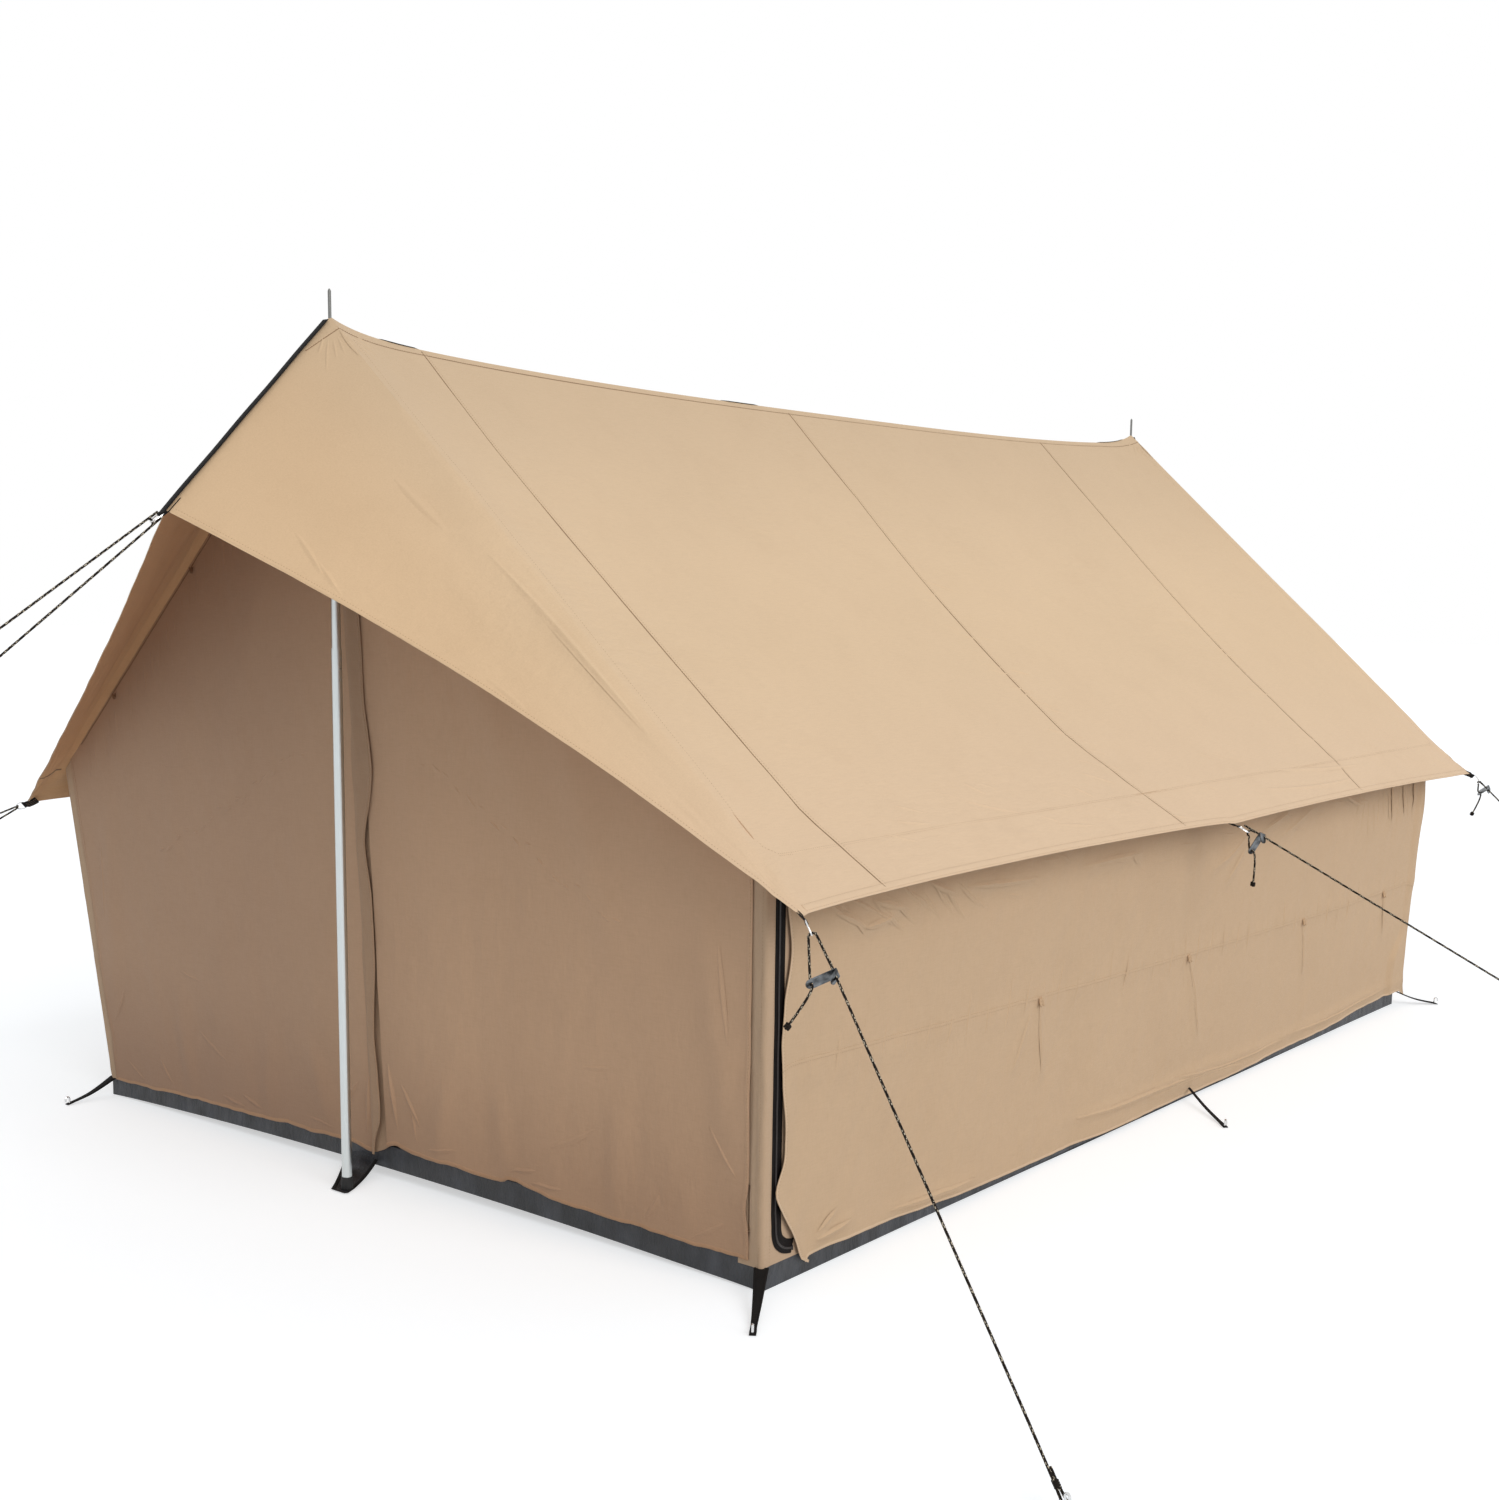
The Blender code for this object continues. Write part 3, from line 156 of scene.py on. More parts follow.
def smooth(value, start, finish):
    t = clamp((value - start) / (finish - start))
    return t * t * (3.0 - 2.0 * t)


def fade(value, start, finish):
    return 1.0 - smooth(value, start, finish)


def along_table(table, x):
    """Smooth value at x through a table of (x, value) in rising order."""
    last = len(table) - 1
    k = 0
    while k < last - 1 and x > table[k + 1][0]:
        k += 1
    x0, v0 = table[k]
    x1, v1 = table[k + 1]
    before = table[max(k - 1, 0)]
    after = table[min(k + 2, last)]
    t = clamp((x - x0) / (x1 - x0))
    rise0 = (v1 - before[1]) / (x1 - before[0]) * (x1 - x0)
    rise1 = (after[1] - v0) / (after[0] - x0) * (x1 - x0)
    rest = 1.0 - t
    return (v0 * (1.0 + 2.0 * t) + rise0 * t) * rest**2 + (v1 * (3.0 - 2.0 * t) - rise1 * rest) * t**2


def ripple(a, b, seed):
    """Smooth noise from -1 to 1 of two coordinates."""
    return noise.noise(Vector((a, b, seed)))


def creases(a, b, table):
    """Height of the soft folds in a table of (a0, b0, a1, b1, width, height) at a place (a, b)."""
    total = 0.0
    for a0, b0, a1, b1, width, height in table:
        da = a1 - a0
        db = b1 - b0
        length = math.hypot(da, db)
        t = ((a - a0) * da + (b - b0) * db) / length**2
        if -0.3 < t < 1.3:
            aside = ((a - a0) * db - (b - b0) * da) / length / width
            if abs(aside) < 2.5:
                total += height * math.exp(-aside**2) * smooth(t, -0.3, 0.3) * fade(t, 0.7, 1.3)
    return total


# Mesh forms: each returns vertices and faces

def shell(outer, inner):
    rows = len(outer)
    cols = len(outer[0])
    verts = [p for row in outer for p in row] + [p for row in inner for p in row]
    half = rows * cols

    def at(i, j, layer):
        return layer * half + i * cols + j

    faces = []
    for i in range(rows - 1):
        for j in range(cols - 1):
            quad = [(i, j), (i + 1, j), (i + 1, j + 1), (i, j + 1)]
            faces.append([at(a, b, 0) for a, b in quad])
            faces.append([at(a, b, 1) for a, b in reversed(quad)])
    rim = [(i, 0) for i in range(rows)]
    rim += [(rows - 1, j) for j in range(1, cols)]
    rim += [(i, cols - 1) for i in range(rows - 2, -1, -1)]
    rim += [(0, j) for j in range(cols - 2, 0, -1)]
    for here, there in zip(rim, rim[1:] + rim[:1]):
        faces.append([at(*here, 0), at(*there, 0), at(*there, 1), at(*here, 1)])
    return verts, faces


def cloth(grid, thickness, outward):
    """Thin closed sheet whose outer face is the grid; outward tells that face's side."""
    rows = len(grid)
    cols = len(grid[0])
    inner = []
    for i in range(rows):
        row = []
        for j in range(cols):
            down = grid[min(i + 1, rows - 1)][j] - grid[max(i - 1, 0)][j]
            across = grid[i][min(j + 1, cols - 1)] - grid[i][max(j - 1, 0)]
            normal = down.cross(across).normalized()
            if normal.dot(outward) < 0.0:
                normal.negate()
            row.append(grid[i][j] - normal * thickness)
        inner.append(row)
    return shell(grid, inner)


def grid_of(place, columns, rows):
    return [[place(j / columns, i / rows) for j in range(columns + 1)] for i in range(rows + 1)]


def arc(centre, first, second, radius, turns):
    return [centre + (first * math.cos(t) + second * math.sin(t)) * radius for t in turns]


def sweep(sections, closed=False):
    count = len(sections[0])
    verts = [p for section in sections for p in section]
    faces = []
    if not closed:
        faces += [list(range(count)), [(len(sections) - 1) * count + k for k in range(count)]]
    pairs = list(zip(range(len(sections) - 1), range(1, len(sections))))
    if closed:
        pairs.append((len(sections) - 1, 0))
    for s, t in pairs:
        for k in range(count):
            nxt = (k + 1) % count
            faces.append([s * count + k, s * count + nxt, t * count + nxt, t * count + k])
    return verts, faces


def tangent(points, k):
    return (points[min(k + 1, len(points) - 1)] - points[max(k - 1, 0)]).normalized()


def beside(points, normals, aside):
    """The line moved sideways, square to its own direction and the normals."""
    return [p + tangent(points, k).cross(normals[k]).normalized() * aside for k, p in enumerate(points)]


def path_length(points):
    return sum((b - a).length for a, b in zip(points, points[1:]))


def ribbon(points, normals, width, thick, lift=0.0):
    """Flat band along a line, its under side lift above the line; width may be a list."""
    sections = []
    for k, (point, normal) in enumerate(zip(points, normals)):
        across = tangent(points, k).cross(normal).normalized()
        rise = across.cross(tangent(points, k))
        if rise.dot(normal) < 0.0:
            rise.negate()
        half = (width[k] if isinstance(width, list) else width) / 2
        bevel = min(0.0012, half * 0.3)
        profile = [
            (-half, 0.0), (half, 0.0), (half, thick * 0.5), (half - bevel, thick),
            (-half + bevel, thick), (-half, thick * 0.5),
        ]
        sections.append([point + across * x + rise * (lift + h) for x, h in profile])
    return sweep(sections)


def chance(k):
    """Repeatable value from 0 to 1 for a number."""
    return math.modf(abs(math.sin(k * 12.9898) * 43758.5453))[0]


def fold(place, a0, b0, a1, b1, width, height):
    """Slim fold that rises from a cloth and fades at both ends; place gives a point and its normal."""
    steps = int(clamp(60.0 * math.hypot(a1 - a0, b1 - b0), 8, 22))
    bend = 0.06 * (chance(a0 * 9.0 + b1 * 7.0) - 0.5)
    line = []
    for k in range(steps + 1):
        t = k / steps
        aside = bend * math.sin(math.pi * t)
        line.append(place(a0 + (a1 - a0) * t + aside * (b1 - b0), b0 + (b1 - b0) * t - aside * (a1 - a0)))
    points = [point for point, _ in line]
    sections = []
    for k, (point, normal) in enumerate(line):
        across = tangent(points, k).cross(normal).normalized()
        swell = max(0.0, math.sin(math.pi * k / steps)) ** 0.8
        section = []
        for n in FOLD_PROFILE:
            rise = height * swell * math.exp(-(n * 2.1) ** 2) - FOLD_SUNK
            section.append(point + across * width * n * (0.35 + 0.65 * swell) + normal * rise)
        sections.append(section)
    return sweep(sections)


def tube(points, radius, sides=10, closed=False):
    """Round tube through the points; radius may be a list."""
    count = len(points)
    if closed:
        ways = [(points[(k + 1) % count] - points[k - 1]).normalized() for k in range(count)]
    else:
        ways = [tangent(points, k) for k in range(count)]
    side = ways[0].orthogonal().normalized()
    sections = []
    for k, (point, way) in enumerate(zip(points, ways)):
        side = (side - way * side.dot(way)).normalized()
        over = way.cross(side)
        size = radius[k] if isinstance(radius, list) else radius
        turns = [math.tau * s / sides for s in range(sides)]
        sections.append([point + (side * math.cos(t) + over * math.sin(t)) * size for t in turns])
    return sweep(sections, closed)


def resample(points, step):
    """Evenly spaced points on a smooth curve through the given ones."""
    fine = []
    count = len(points)
    for k in range(count - 1):
        a, b, c, d = (points[max(0, min(count - 1, k + n))] for n in (-1, 0, 1, 2))
        pieces = max(2, int((c - b).length / step * 2))
        for n in range(pieces):
            t = n / pieces
            fine.append(0.5 * (
                2.0 * b + (c - a) * t + (2.0 * a - 5.0 * b + 4.0 * c - d) * t**2
                + (3.0 * b - a - 3.0 * c + d) * t**3
            ))
    fine.append(points[-1])
    lengths = [0.0]
    for a, b in zip(fine, fine[1:]):
        lengths.append(lengths[-1] + (b - a).length)
    wanted = max(2, round(lengths[-1] / step) + 1)
    out = []
    at = 0
    for n in range(wanted):
        goal = lengths[-1] * n / (wanted - 1)
        while at < len(fine) - 2 and lengths[at + 1] < goal:
            at += 1
        span = lengths[at + 1] - lengths[at]
        out.append(fine[at].lerp(fine[at + 1], clamp((goal - lengths[at]) / max(span, 1e-9))))
    return out


def stitch_row(points, normals, lift=0.0, size=0.0006):
    """Running stitches along a line: slim eight-faced beads."""
    verts = []
    faces = []
    pitch = STITCH + STITCH_GAP
    travelled = 0.0
    due = STITCH_GAP
    for k in range(len(points) - 1):
        step = points[k + 1] - points[k]
        length = step.length
        if length == 0.0:
            continue
        way = step / length
        normal = normals[k]
        across = way.cross(normal).normalized()
        while due <= travelled + length:
            centre = points[k] + way * (due - travelled) + normal * lift
            base = len(verts)
            verts += [
                centre - way * STITCH / 2, centre + way * STITCH / 2,
                centre - across * size, centre + across * size,
                centre - normal * size * 0.5, centre + normal * size,
            ]
            for a in (0, 1):
                for b, c in ((2, 5), (5, 3), (3, 4), (4, 2)):
                    faces.append([base + a, base + b, base + c])
            due += pitch
        travelled += length
    return verts, faces


def put(name, data):
    """New object in the scene."""
    obj = bpy.data.objects.new(name, data)
    bpy.context.scene.collection.objects.link(obj)
    return obj


class Work:
    """Forms gathered into one piece, each with the look it has."""

    def __init__(self):
        self.verts = []
        self.faces = []
        self.looks = []

    def add(self, form, look=0):
        verts, faces = form
        base = len(self.verts)
        self.verts += verts
        self.faces += [[base + k for k in face] for face in faces]
        self.looks += look if isinstance(look, list) else [look] * len(faces)

    def piece(self, name, looks, body=None, angle=35.0, replaces=(), slot=None):
        mesh = bpy.data.meshes.new(name)
        mesh.from_pydata(self.verts, [], self.faces)
        for look in looks:
            mesh.materials.append(look)
        mesh.polygons.foreach_set("material_index", self.looks)
        bm = bmesh.new()
        bm.from_mesh(mesh)
        bmesh.ops.recalc_face_normals(bm, faces=bm.faces)
        bm.to_mesh(mesh)
        bm.free()
        mesh.shade_smooth()
        mesh.set_sharp_from_angle(angle=math.radians(angle))
        obj = put(name, mesh)
        if body:
            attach(obj, body)
        if replaces:
            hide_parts(*replaces)
        return obj


def tie_loop(base, down, across, size=1.0):
    """Small sewn loop of tape that hangs from a seam."""
    out = down.cross(across).normalized()
    path = []
    for k in range(13):
        t = k / 12
        spread = math.sin(math.pi * t)
        drop = down * 0.024 * spread + across * 0.012 * (t - 0.5) + out * 0.008 * spread
        path.append(base + drop * size)
    return tube(path, 0.0026 * size, 6)


# Materials

WHITE = (1.0, 1.0, 1.0)
EVEN = (1.0, 1.0, 1.0)      # a texture that isn't stretched
THREAD_PITCH = 0.0011
RIB_PITCH = 0.0016
VINYL_GRID = 0.0022


def linear(colour):
    return tuple((c / 12.92 if c <= 0.04045 else ((c + 0.055) / 1.055) ** 2.4) for c in colour)


def times(colour, factor, extra=0.0):
    return [c * factor + extra for c in colour]


def feed(tree, node, inputs):
    """Link or set a node's inputs."""
    for key, value in inputs.items():
        if isinstance(value, bpy.types.NodeSocket):
            tree.links.new(value, node.inputs[key])
        else:
            node.inputs[key].default_value = value


def new_material(name, colour, roughness, metallic=0.0):
    mat = bpy.data.materials.new(name)
    mat.use_nodes = True
    tree = mat.node_tree
    shader = tree.nodes["Principled BSDF"]
    plain = (*linear(colour), 1.0)
    feed(tree, shader, {"Base Color": plain, "Roughness": roughness, "Metallic": metallic})
    return mat, tree, shader


def add_node(tree, kind, inputs=None, **settings):
    node = tree.nodes.new(kind)
    for key, value in settings.items():
        setattr(node, key, value)
    feed(tree, node, inputs or {})
    return node


def map_range(tree, value, end, low, high, kind="LINEAR"):
    """Value mapped between 0 and 1 and the range low to high; end says which side that range is on."""
    inputs = {"Value": value, f"{end} Min": low, f"{end} Max": high}
    return add_node(tree, "ShaderNodeMapRange", inputs, interpolation_type=kind).outputs["Result"]


def position(tree, scale=EVEN):
    coords = add_node(tree, "ShaderNodeTexCoord")
    inputs = {"Vector": coords.outputs["Object"], "Scale": scale}
    return add_node(tree, "ShaderNodeMapping", inputs).outputs["Vector"]


def noise_value(tree, scale, stretch=EVEN, detail=3.0):
    inputs = {"Vector": position(tree, stretch), "Scale": scale, "Detail": detail}
    return add_node(tree, "ShaderNodeTexNoise", inputs).outputs["Fac"]


def mixed(tree, factor, first, second, low=0.3, high=0.7):
    """Colour that goes from first to second as factor goes from low to high."""
    ramp = add_node(tree, "ShaderNodeValToRGB", {"Fac": factor})
    for element, place, colour in zip(ramp.color_ramp.elements, (low, high), (first, second)):
        element.position = place
        element.color = (*colour, 1.0)
    return ramp.outputs["Color"]


def tinted(tree, tone, *mix):
    """Tone multiplied by a colour that is mixed as in mixed()."""
    inputs = {"Factor": 1.0, 6: tone, 7: mixed(tree, *mix)}
    return add_node(tree, "ShaderNodeMix", inputs, data_type="RGBA", blend_type="MULTIPLY").outputs[2]


def wave_value(tree, direction, period):
    inputs = {"Vector": position(tree), "Scale": math.pi / 10.0 / period}
    settings = {"wave_type": "BANDS", "bands_direction": direction}
    return add_node(tree, "ShaderNodeTexWave", inputs, **settings).outputs["Fac"]


def math_value(tree, operation, first, second):
    return add_node(tree, "ShaderNodeMath", {0: first, 1: second}, operation=operation).outputs[0]


def bump(tree, shader, height, distance, strength=1.0):
    node = add_node(tree, "ShaderNodeBump", {"Height": height, "Distance": distance, "Strength": strength})
    feed(tree, shader, {"Normal": node.outputs["Normal"]})


def painted_shading(tree, tone, painted_shades):
    """Painted light and shade: (axis, from, to, colour) goes from plain to the colour along an axis."""
    coords = add_node(tree, "ShaderNodeTexCoord")
    parts = add_node(tree, "ShaderNodeSeparateXYZ", {"Vector": coords.outputs["Object"]})
    for axis, start, finish, colour in painted_shades:
        share = map_range(tree, parts.outputs[axis], "From", start, finish, "SMOOTHSTEP")
        tone = tinted(tree, tone, share, WHITE, colour, 0.0, 1.0)
    return tone


def canvas(name, colour, directions, painted_shades=(), drawn=(6.0, 1.4, 6.0)):
    """Cotton canvas: plain weave, slubs along the threads, fine drawn creases, soft random tone changes, and
    painted light and shade that change with position.
    """
    mat, tree, shader = new_material(name, colour, 0.86)
    base = linear(colour)
    tone = mixed(tree, noise_value(tree, 1.7, detail=5.0), times(base, 0.985), times(base, 1.015))
    for direction in directions:
        slub = noise_value(tree, 26.0, [1.0 if axis == direction else 14.0 for axis in "XYZ"], 2.0)
        tone = tinted(tree, tone, slub, (0.965, 0.96, 0.955), WHITE, 0.3, 0.6)
    stain = noise_value(tree, 6.0, detail=6.0)
    tone = tinted(tree, tone, stain, WHITE, (0.98, 0.975, 0.97), 0.5, 0.75)
    height = math_value(tree, "MULTIPLY", *[wave_value(tree, way, THREAD_PITCH) for way in directions])
    where = map_range(tree, noise_value(tree, 1.1), "From", 0.42, 0.68)
    fine = math_value(tree, "MULTIPLY", noise_value(tree, 5.5, drawn, 3.0), where)
    for relief, share in ((noise_value(tree, 34.0, detail=4.0), 2.4), (fine, 26.0)):
        height = math_value(tree, "ADD", height, math_value(tree, "MULTIPLY", relief, share))
    bump(tree, shader, height, 0.0003, 0.75)
    feed(tree, shader, {
        "Base Color": painted_shading(tree, tone, painted_shades), "Sheen Weight": 0.12, "Sheen Roughness": 0.6,
        "Specular IOR Level": 0.25,
    })
    return mat


def webbing(name, colour, roughness=0.62, sheen=0.05):
    """Woven tape: a fine herringbone rib."""
    mat, tree, shader = new_material(name, colour, roughness)
    base = linear(colour)
    across = wave_value(tree, "DIAGONAL", RIB_PITCH)
    ribs = math_value(tree, "MULTIPLY", across, wave_value(tree, "Z", THREAD_PITCH))
    tone = mixed(tree, ribs, times(base, 0.6), times(base, 1.7), 0.1, 0.9)
    tone = tinted(tree, tone, noise_value(tree, 60.0), (0.8, 0.8, 0.8), WHITE)
    bump(tree, shader, ribs, 0.0004)
    feed(tree, shader, {"Base Color": tone, "Sheen Weight": sheen, "Specular IOR Level": 0.12})
    return mat


def vinyl(name, colour):
    """Coated cloth: bluish black, softly shiny, with the cloth's grid and creases showing through, and
    upright streaks of painted shade and highlight.
    """
    mat, tree, shader = new_material(name, colour, 0.5)
    base = linear(colour)
    dust = noise_value(tree, 9.0, detail=7.0)
    # Darker and paler upright streaks are painted shade and highlights of the creases.
    streak_shade_and_highlight = noise_value(tree, 16.0, (1.0, 1.0, 0.45), 5.0)
    tone = mixed(tree, streak_shade_and_highlight, times(base, 0.55), times(base, 2.1, 0.006), 0.38, 0.72)
    tone = tinted(tree, tone, dust, (0.85, 0.85, 0.85), WHITE)
    feed(tree, shader, {"Base Color": tone, "Roughness": map_range(tree, dust, "To", 0.3, 0.52)})
    grid = math_value(tree, "ADD", *[wave_value(tree, way, VINYL_GRID) for way in "XY"])
    folds = noise_value(tree, 15.0, (1.0, 1.0, 0.5), 5.0)
    height = math_value(tree, "ADD", grid, math_value(tree, "MULTIPLY", folds, 70.0))
    bump(tree, shader, height, 0.00035)
    return mat


def metal(name, colour, roughness, grain=(1.0, 1.0, 30.0), scratch=0.1):
    """Drawn or plated metal with fine grain and handling marks."""
    mat, tree, shader = new_material(name, colour, roughness, 1.0)
    base = linear(colour)
    lines = noise_value(tree, 40.0, grain, 4.0)
    pale = [min(1.0, c) for c in times(base, 1.0 + scratch)]
    tone = mixed(tree, lines, times(base, 1.0 - scratch), pale)
    marks = noise_value(tree, 22.0, detail=6.0)
    rough = map_range(tree, marks, "To", roughness * 0.75, roughness * 1.3)
    feed(tree, shader, {"Base Color": tone, "Roughness": rough})
    bump(tree, shader, lines, 0.00006)
    return mat


def moulded(name, colour, roughness):
    """Moulded rubber or nylon with a fine matt grain and dust in it."""
    mat, tree, shader = new_material(name, colour, roughness)
    base = linear(colour)
    tone = mixed(tree, noise_value(tree, 45.0, detail=6.0), base, times(base, 1.6, 0.006), 0.4, 0.8)
    feed(tree, shader, {"Base Color": tone})
    bump(tree, shader, noise_value(tree, 900.0), 0.0002)
    return mat


ROOF_COLOUR = (0.872, 0.76, 0.622)
DOOR_COLOUR = (0.815, 0.668, 0.537)
# Tints in the roof canvas are painted light and shade: darker towards the peak, lighter and bluer towards the
# eaves, darker and yellower over the front beak.
roof_canvas = canvas("roof_canvas_look", ROOF_COLOUR, "XY", (
    ("Z", 1.65, 2.42, (0.865, 0.865, 0.87)), ("Z", 1.6, 0.95, (1.02, 1.02, 1.07)),
    ("Y", -2.2, -2.55, (0.99, 0.95, 0.905)),
))
roof_under = canvas("roof_under_look", (0.88, 0.69, 0.5), "XY")
wall_canvas = canvas("wall_canvas_look", (0.8, 0.682, 0.552), "YZ", drawn=(1.0, 3.0, 3.0))
# Tints in the door canvas are painted shade: darker towards -X, darker and warmer up under the beak, and
# darker towards the ground.
door_canvas = canvas("door_canvas_look", DOOR_COLOUR, "XZ", (
    ("X", 0.45, -0.6, (0.805, 0.8, 0.83)), ("Z", 1.2, 2.3, (0.94, 0.89, 0.84)),
    ("Z", 0.55, 0.05, (0.82, 0.78, 0.77)),
), drawn=(4.0, 4.0, 1.2))
corner_canvas = canvas("corner_canvas_look", (0.765, 0.65, 0.535), "YZ", drawn=(3.0, 3.0, 1.0))
hem_canvas = canvas("hem_canvas_look", (0.84, 0.728, 0.605), "YZ")
# A darker copy of the door canvas for the door margins round the pole: painted shade.
shaded_overlap_canvas = canvas("overlap_shaded_look", times(DOOR_COLOUR, 0.88), "XZ")
# The door hem's tint is painted shade, darker towards the ground.
door_hem_canvas = canvas("door_hem_look", (0.8, 0.64, 0.5), "XZ", (
    ("Z", 0.55, 0.05, (0.86, 0.82, 0.8)),
))
# Seam colour: the dark lines along seams in it are painted shadow; the ties under the beaks also use it.
seam_shade = canvas("seam_look", (0.56, 0.435, 0.325), "XY")
thread = canvas("thread_look", (0.66, 0.54, 0.41), "YZ")
black_web = webbing("black_webbing_look", (0.082, 0.07, 0.068), 0.8)
sheet_vinyl = vinyl("groundsheet_look", (0.15, 0.158, 0.178))
zip_tape = webbing("zip_tape_look", (0.085, 0.062, 0.056), 0.55, 0.0)
zip_coil = moulded("zip_coil_look", (0.13, 0.1, 0.09), 0.38)
slider_metal = metal("slider_look", (0.1, 0.1, 0.1), 0.38)
aluminium = metal("pole_look", (0.8, 0.82, 0.82), 0.34, (30.0, 30.0, 0.6), 0.06)
foot_rubber = moulded("foot_rubber_look", (0.075, 0.075, 0.078), 0.75)
spike_metal = metal("spike_look", (0.47, 0.47, 0.46), 0.42)
spring_metal = metal("spring_look", (0.62, 0.61, 0.58), 0.32)
bright_steel = metal("ring_look", (0.86, 0.86, 0.86), 0.2, scratch=0.05)
runner_metal = metal("runner_look", (0.4, 0.41, 0.42), 0.26, (1.0, 1.0, 1.0), 0.85)
rope_black = webbing("rope_look", (0.15, 0.122, 0.1), 0.8)
rope_fleck = webbing("rope_fleck_look", (0.84, 0.79, 0.7), 0.7)


# Roof: u is -1 and 1 at the poles and goes on over the beaks; v goes from -1 to 1 across the ridge

def ridge_z(y):
    t = abs(y) / POLE_Y
    rise = 0.55 * t**3 + 0.45 * math.exp((t - 1.0) / 0.045)
    return RIDGE_LOW_Z + (PEAK_Z - RIDGE_LOW_Z) * rise


ATTACH_Z = WALL_TOP_Z + SEAM_GAP + ROOF_T


def eave_point(side, y):
    pull = abs(math.sin(math.pi * y / EAVE_END_Y))
    rise = EAVE_RISE_BACK * pull
    if y < 0.0:
        pull = pull**0.5
        rise = EAVE_RISE_FRONT * pull
    return Vector((side * (EAVE_X - EAVE_SCALLOP_IN * pull), y, EAVE_Z + rise))


def beak_tip(end):
    return Vector((0.0, end * BEAK_Y, BEAK_Z))


def roof_corner(side, end):
    return Vector((side * EAVE_X, end * EAVE_END_Y, EAVE_Z))


def roof_base(u, v):
    side = RIGHT if v >= 0.0 else LEFT
    end = BACK if u >= 0.0 else FRONT
    y = POLE_Y * clamp(u, -1.0, 1.0)
    along = y * GABLE_CORNER_Y / GABLE_TOP_Y
    ridge = Vector((0.0, y, ridge_z(y)))
    top = Vector((side * WALL_TOP_X, along, ATTACH_Z))
    eave = eave_point(side, along)
    beak = clamp((abs(u) - 1.0) / BEAK_U)
    if beak > 0.0:
        corner = roof_corner(side, end)
        tip = beak_tip(end)
        ridge = ridge.lerp(tip, beak)
        top = top.lerp(tip.lerp(corner, WALL_TOP_X / EAVE_X), beak)
        eave = eave.lerp(corner, beak)
    share = abs(v) / TOP_V
    if share <= 1.0:
        sag = ROOF_SAG * max(0.0, 1.0 - (y / GABLE_TOP_Y) ** 2)
        inward = Vector((-SAG_WAY[0] * side, 0.0, -SAG_WAY[1]))
        point = ridge.lerp(top, share) + inward * sag * math.sin(math.pi * share)
    else:
        point = top.lerp(eave, (abs(v) - TOP_V) / (1.0 - TOP_V))
    across = abs(point.x) / EAVE_X
    bow = Vector((BOW_WAY[0] * side, -BOW_WAY[1] * end, BOW_WAY[2])) * EDGE_BOW * beak
    return point + bow * 4.0 * across * (1.0 - across)


# Broad and sharp folds of the roof: both ends in metres along it and down its slope, width, height
ROOF_CREASES = [
    (-2.29, 0.56, -2.4, 0.84, 0.09, 0.005), (-2.4, 0.78, -2.4, 1.46, 0.07, 0.008),
    (-2.62, 0.26, -2.52, 1.0, 0.1, 0.007),
]
ROOF_FOLDS = [
    (-2.462, 0.46, -2.462, 0.68, 0.022, 0.004), (-2.405, 0.8, -2.405, 1.44, 0.016, 0.0062),
    (-2.279, 0.84, -2.267, 1.12, 0.01, 0.0022), (-2.771, 0.33, -2.84, 0.48, 0.014, 0.0036),
    (-2.805, 0.43, -2.862, 0.55, 0.012, 0.003), (-2.83, 1.0, -2.86, 1.16, 0.014, 0.0024),
    (-1.695, 1.8, -1.546, 1.83, 0.01, 0.0026), (-1.328, 1.76, -1.099, 1.84, 0.01, 0.0034),
    (-0.721, 1.77, -0.653, 1.83, 0.01, 0.0028), (-0.344, 1.94, -0.229, 1.96, 0.01, 0.0026),
    (0.389, 1.9, 1.214, 1.93, 0.013, 0.0044), (0.573, 1.83, 1.42, 1.88, 0.014, 0.0036),
    (-0.355, 1.25, -0.252, 1.29, 0.008, 0.0034), (-0.6, 1.72, -0.45, 1.79, 0.012, 0.003),
    (-1.0, 1.9, -0.78, 1.93, 0.011, 0.0026), (-1.24, 1.7, -1.18, 1.76, 0.012, 0.0026),
]
SEAMS = (
    [(-0.86, 0.005), (-0.87, 0.21), (-0.872, 0.65), (-0.876, 0.86), (-0.85, 0.993)],
    [(-0.125, 0.01), (-0.13, 0.22), (-0.158, 0.51), (-0.186, 0.78), (-0.168, 0.89), (-0.135, 0.993)],
    [(0.635, 0.01), (0.605, 0.3), (0.55, 0.68), (0.515, 0.993)],
)
# Stretches of each seam that hardly show
FAINT = ([(0.08, 0.34)], [(0.14, 0.38), (0.78, 0.9)], [(0.16, 0.62)])


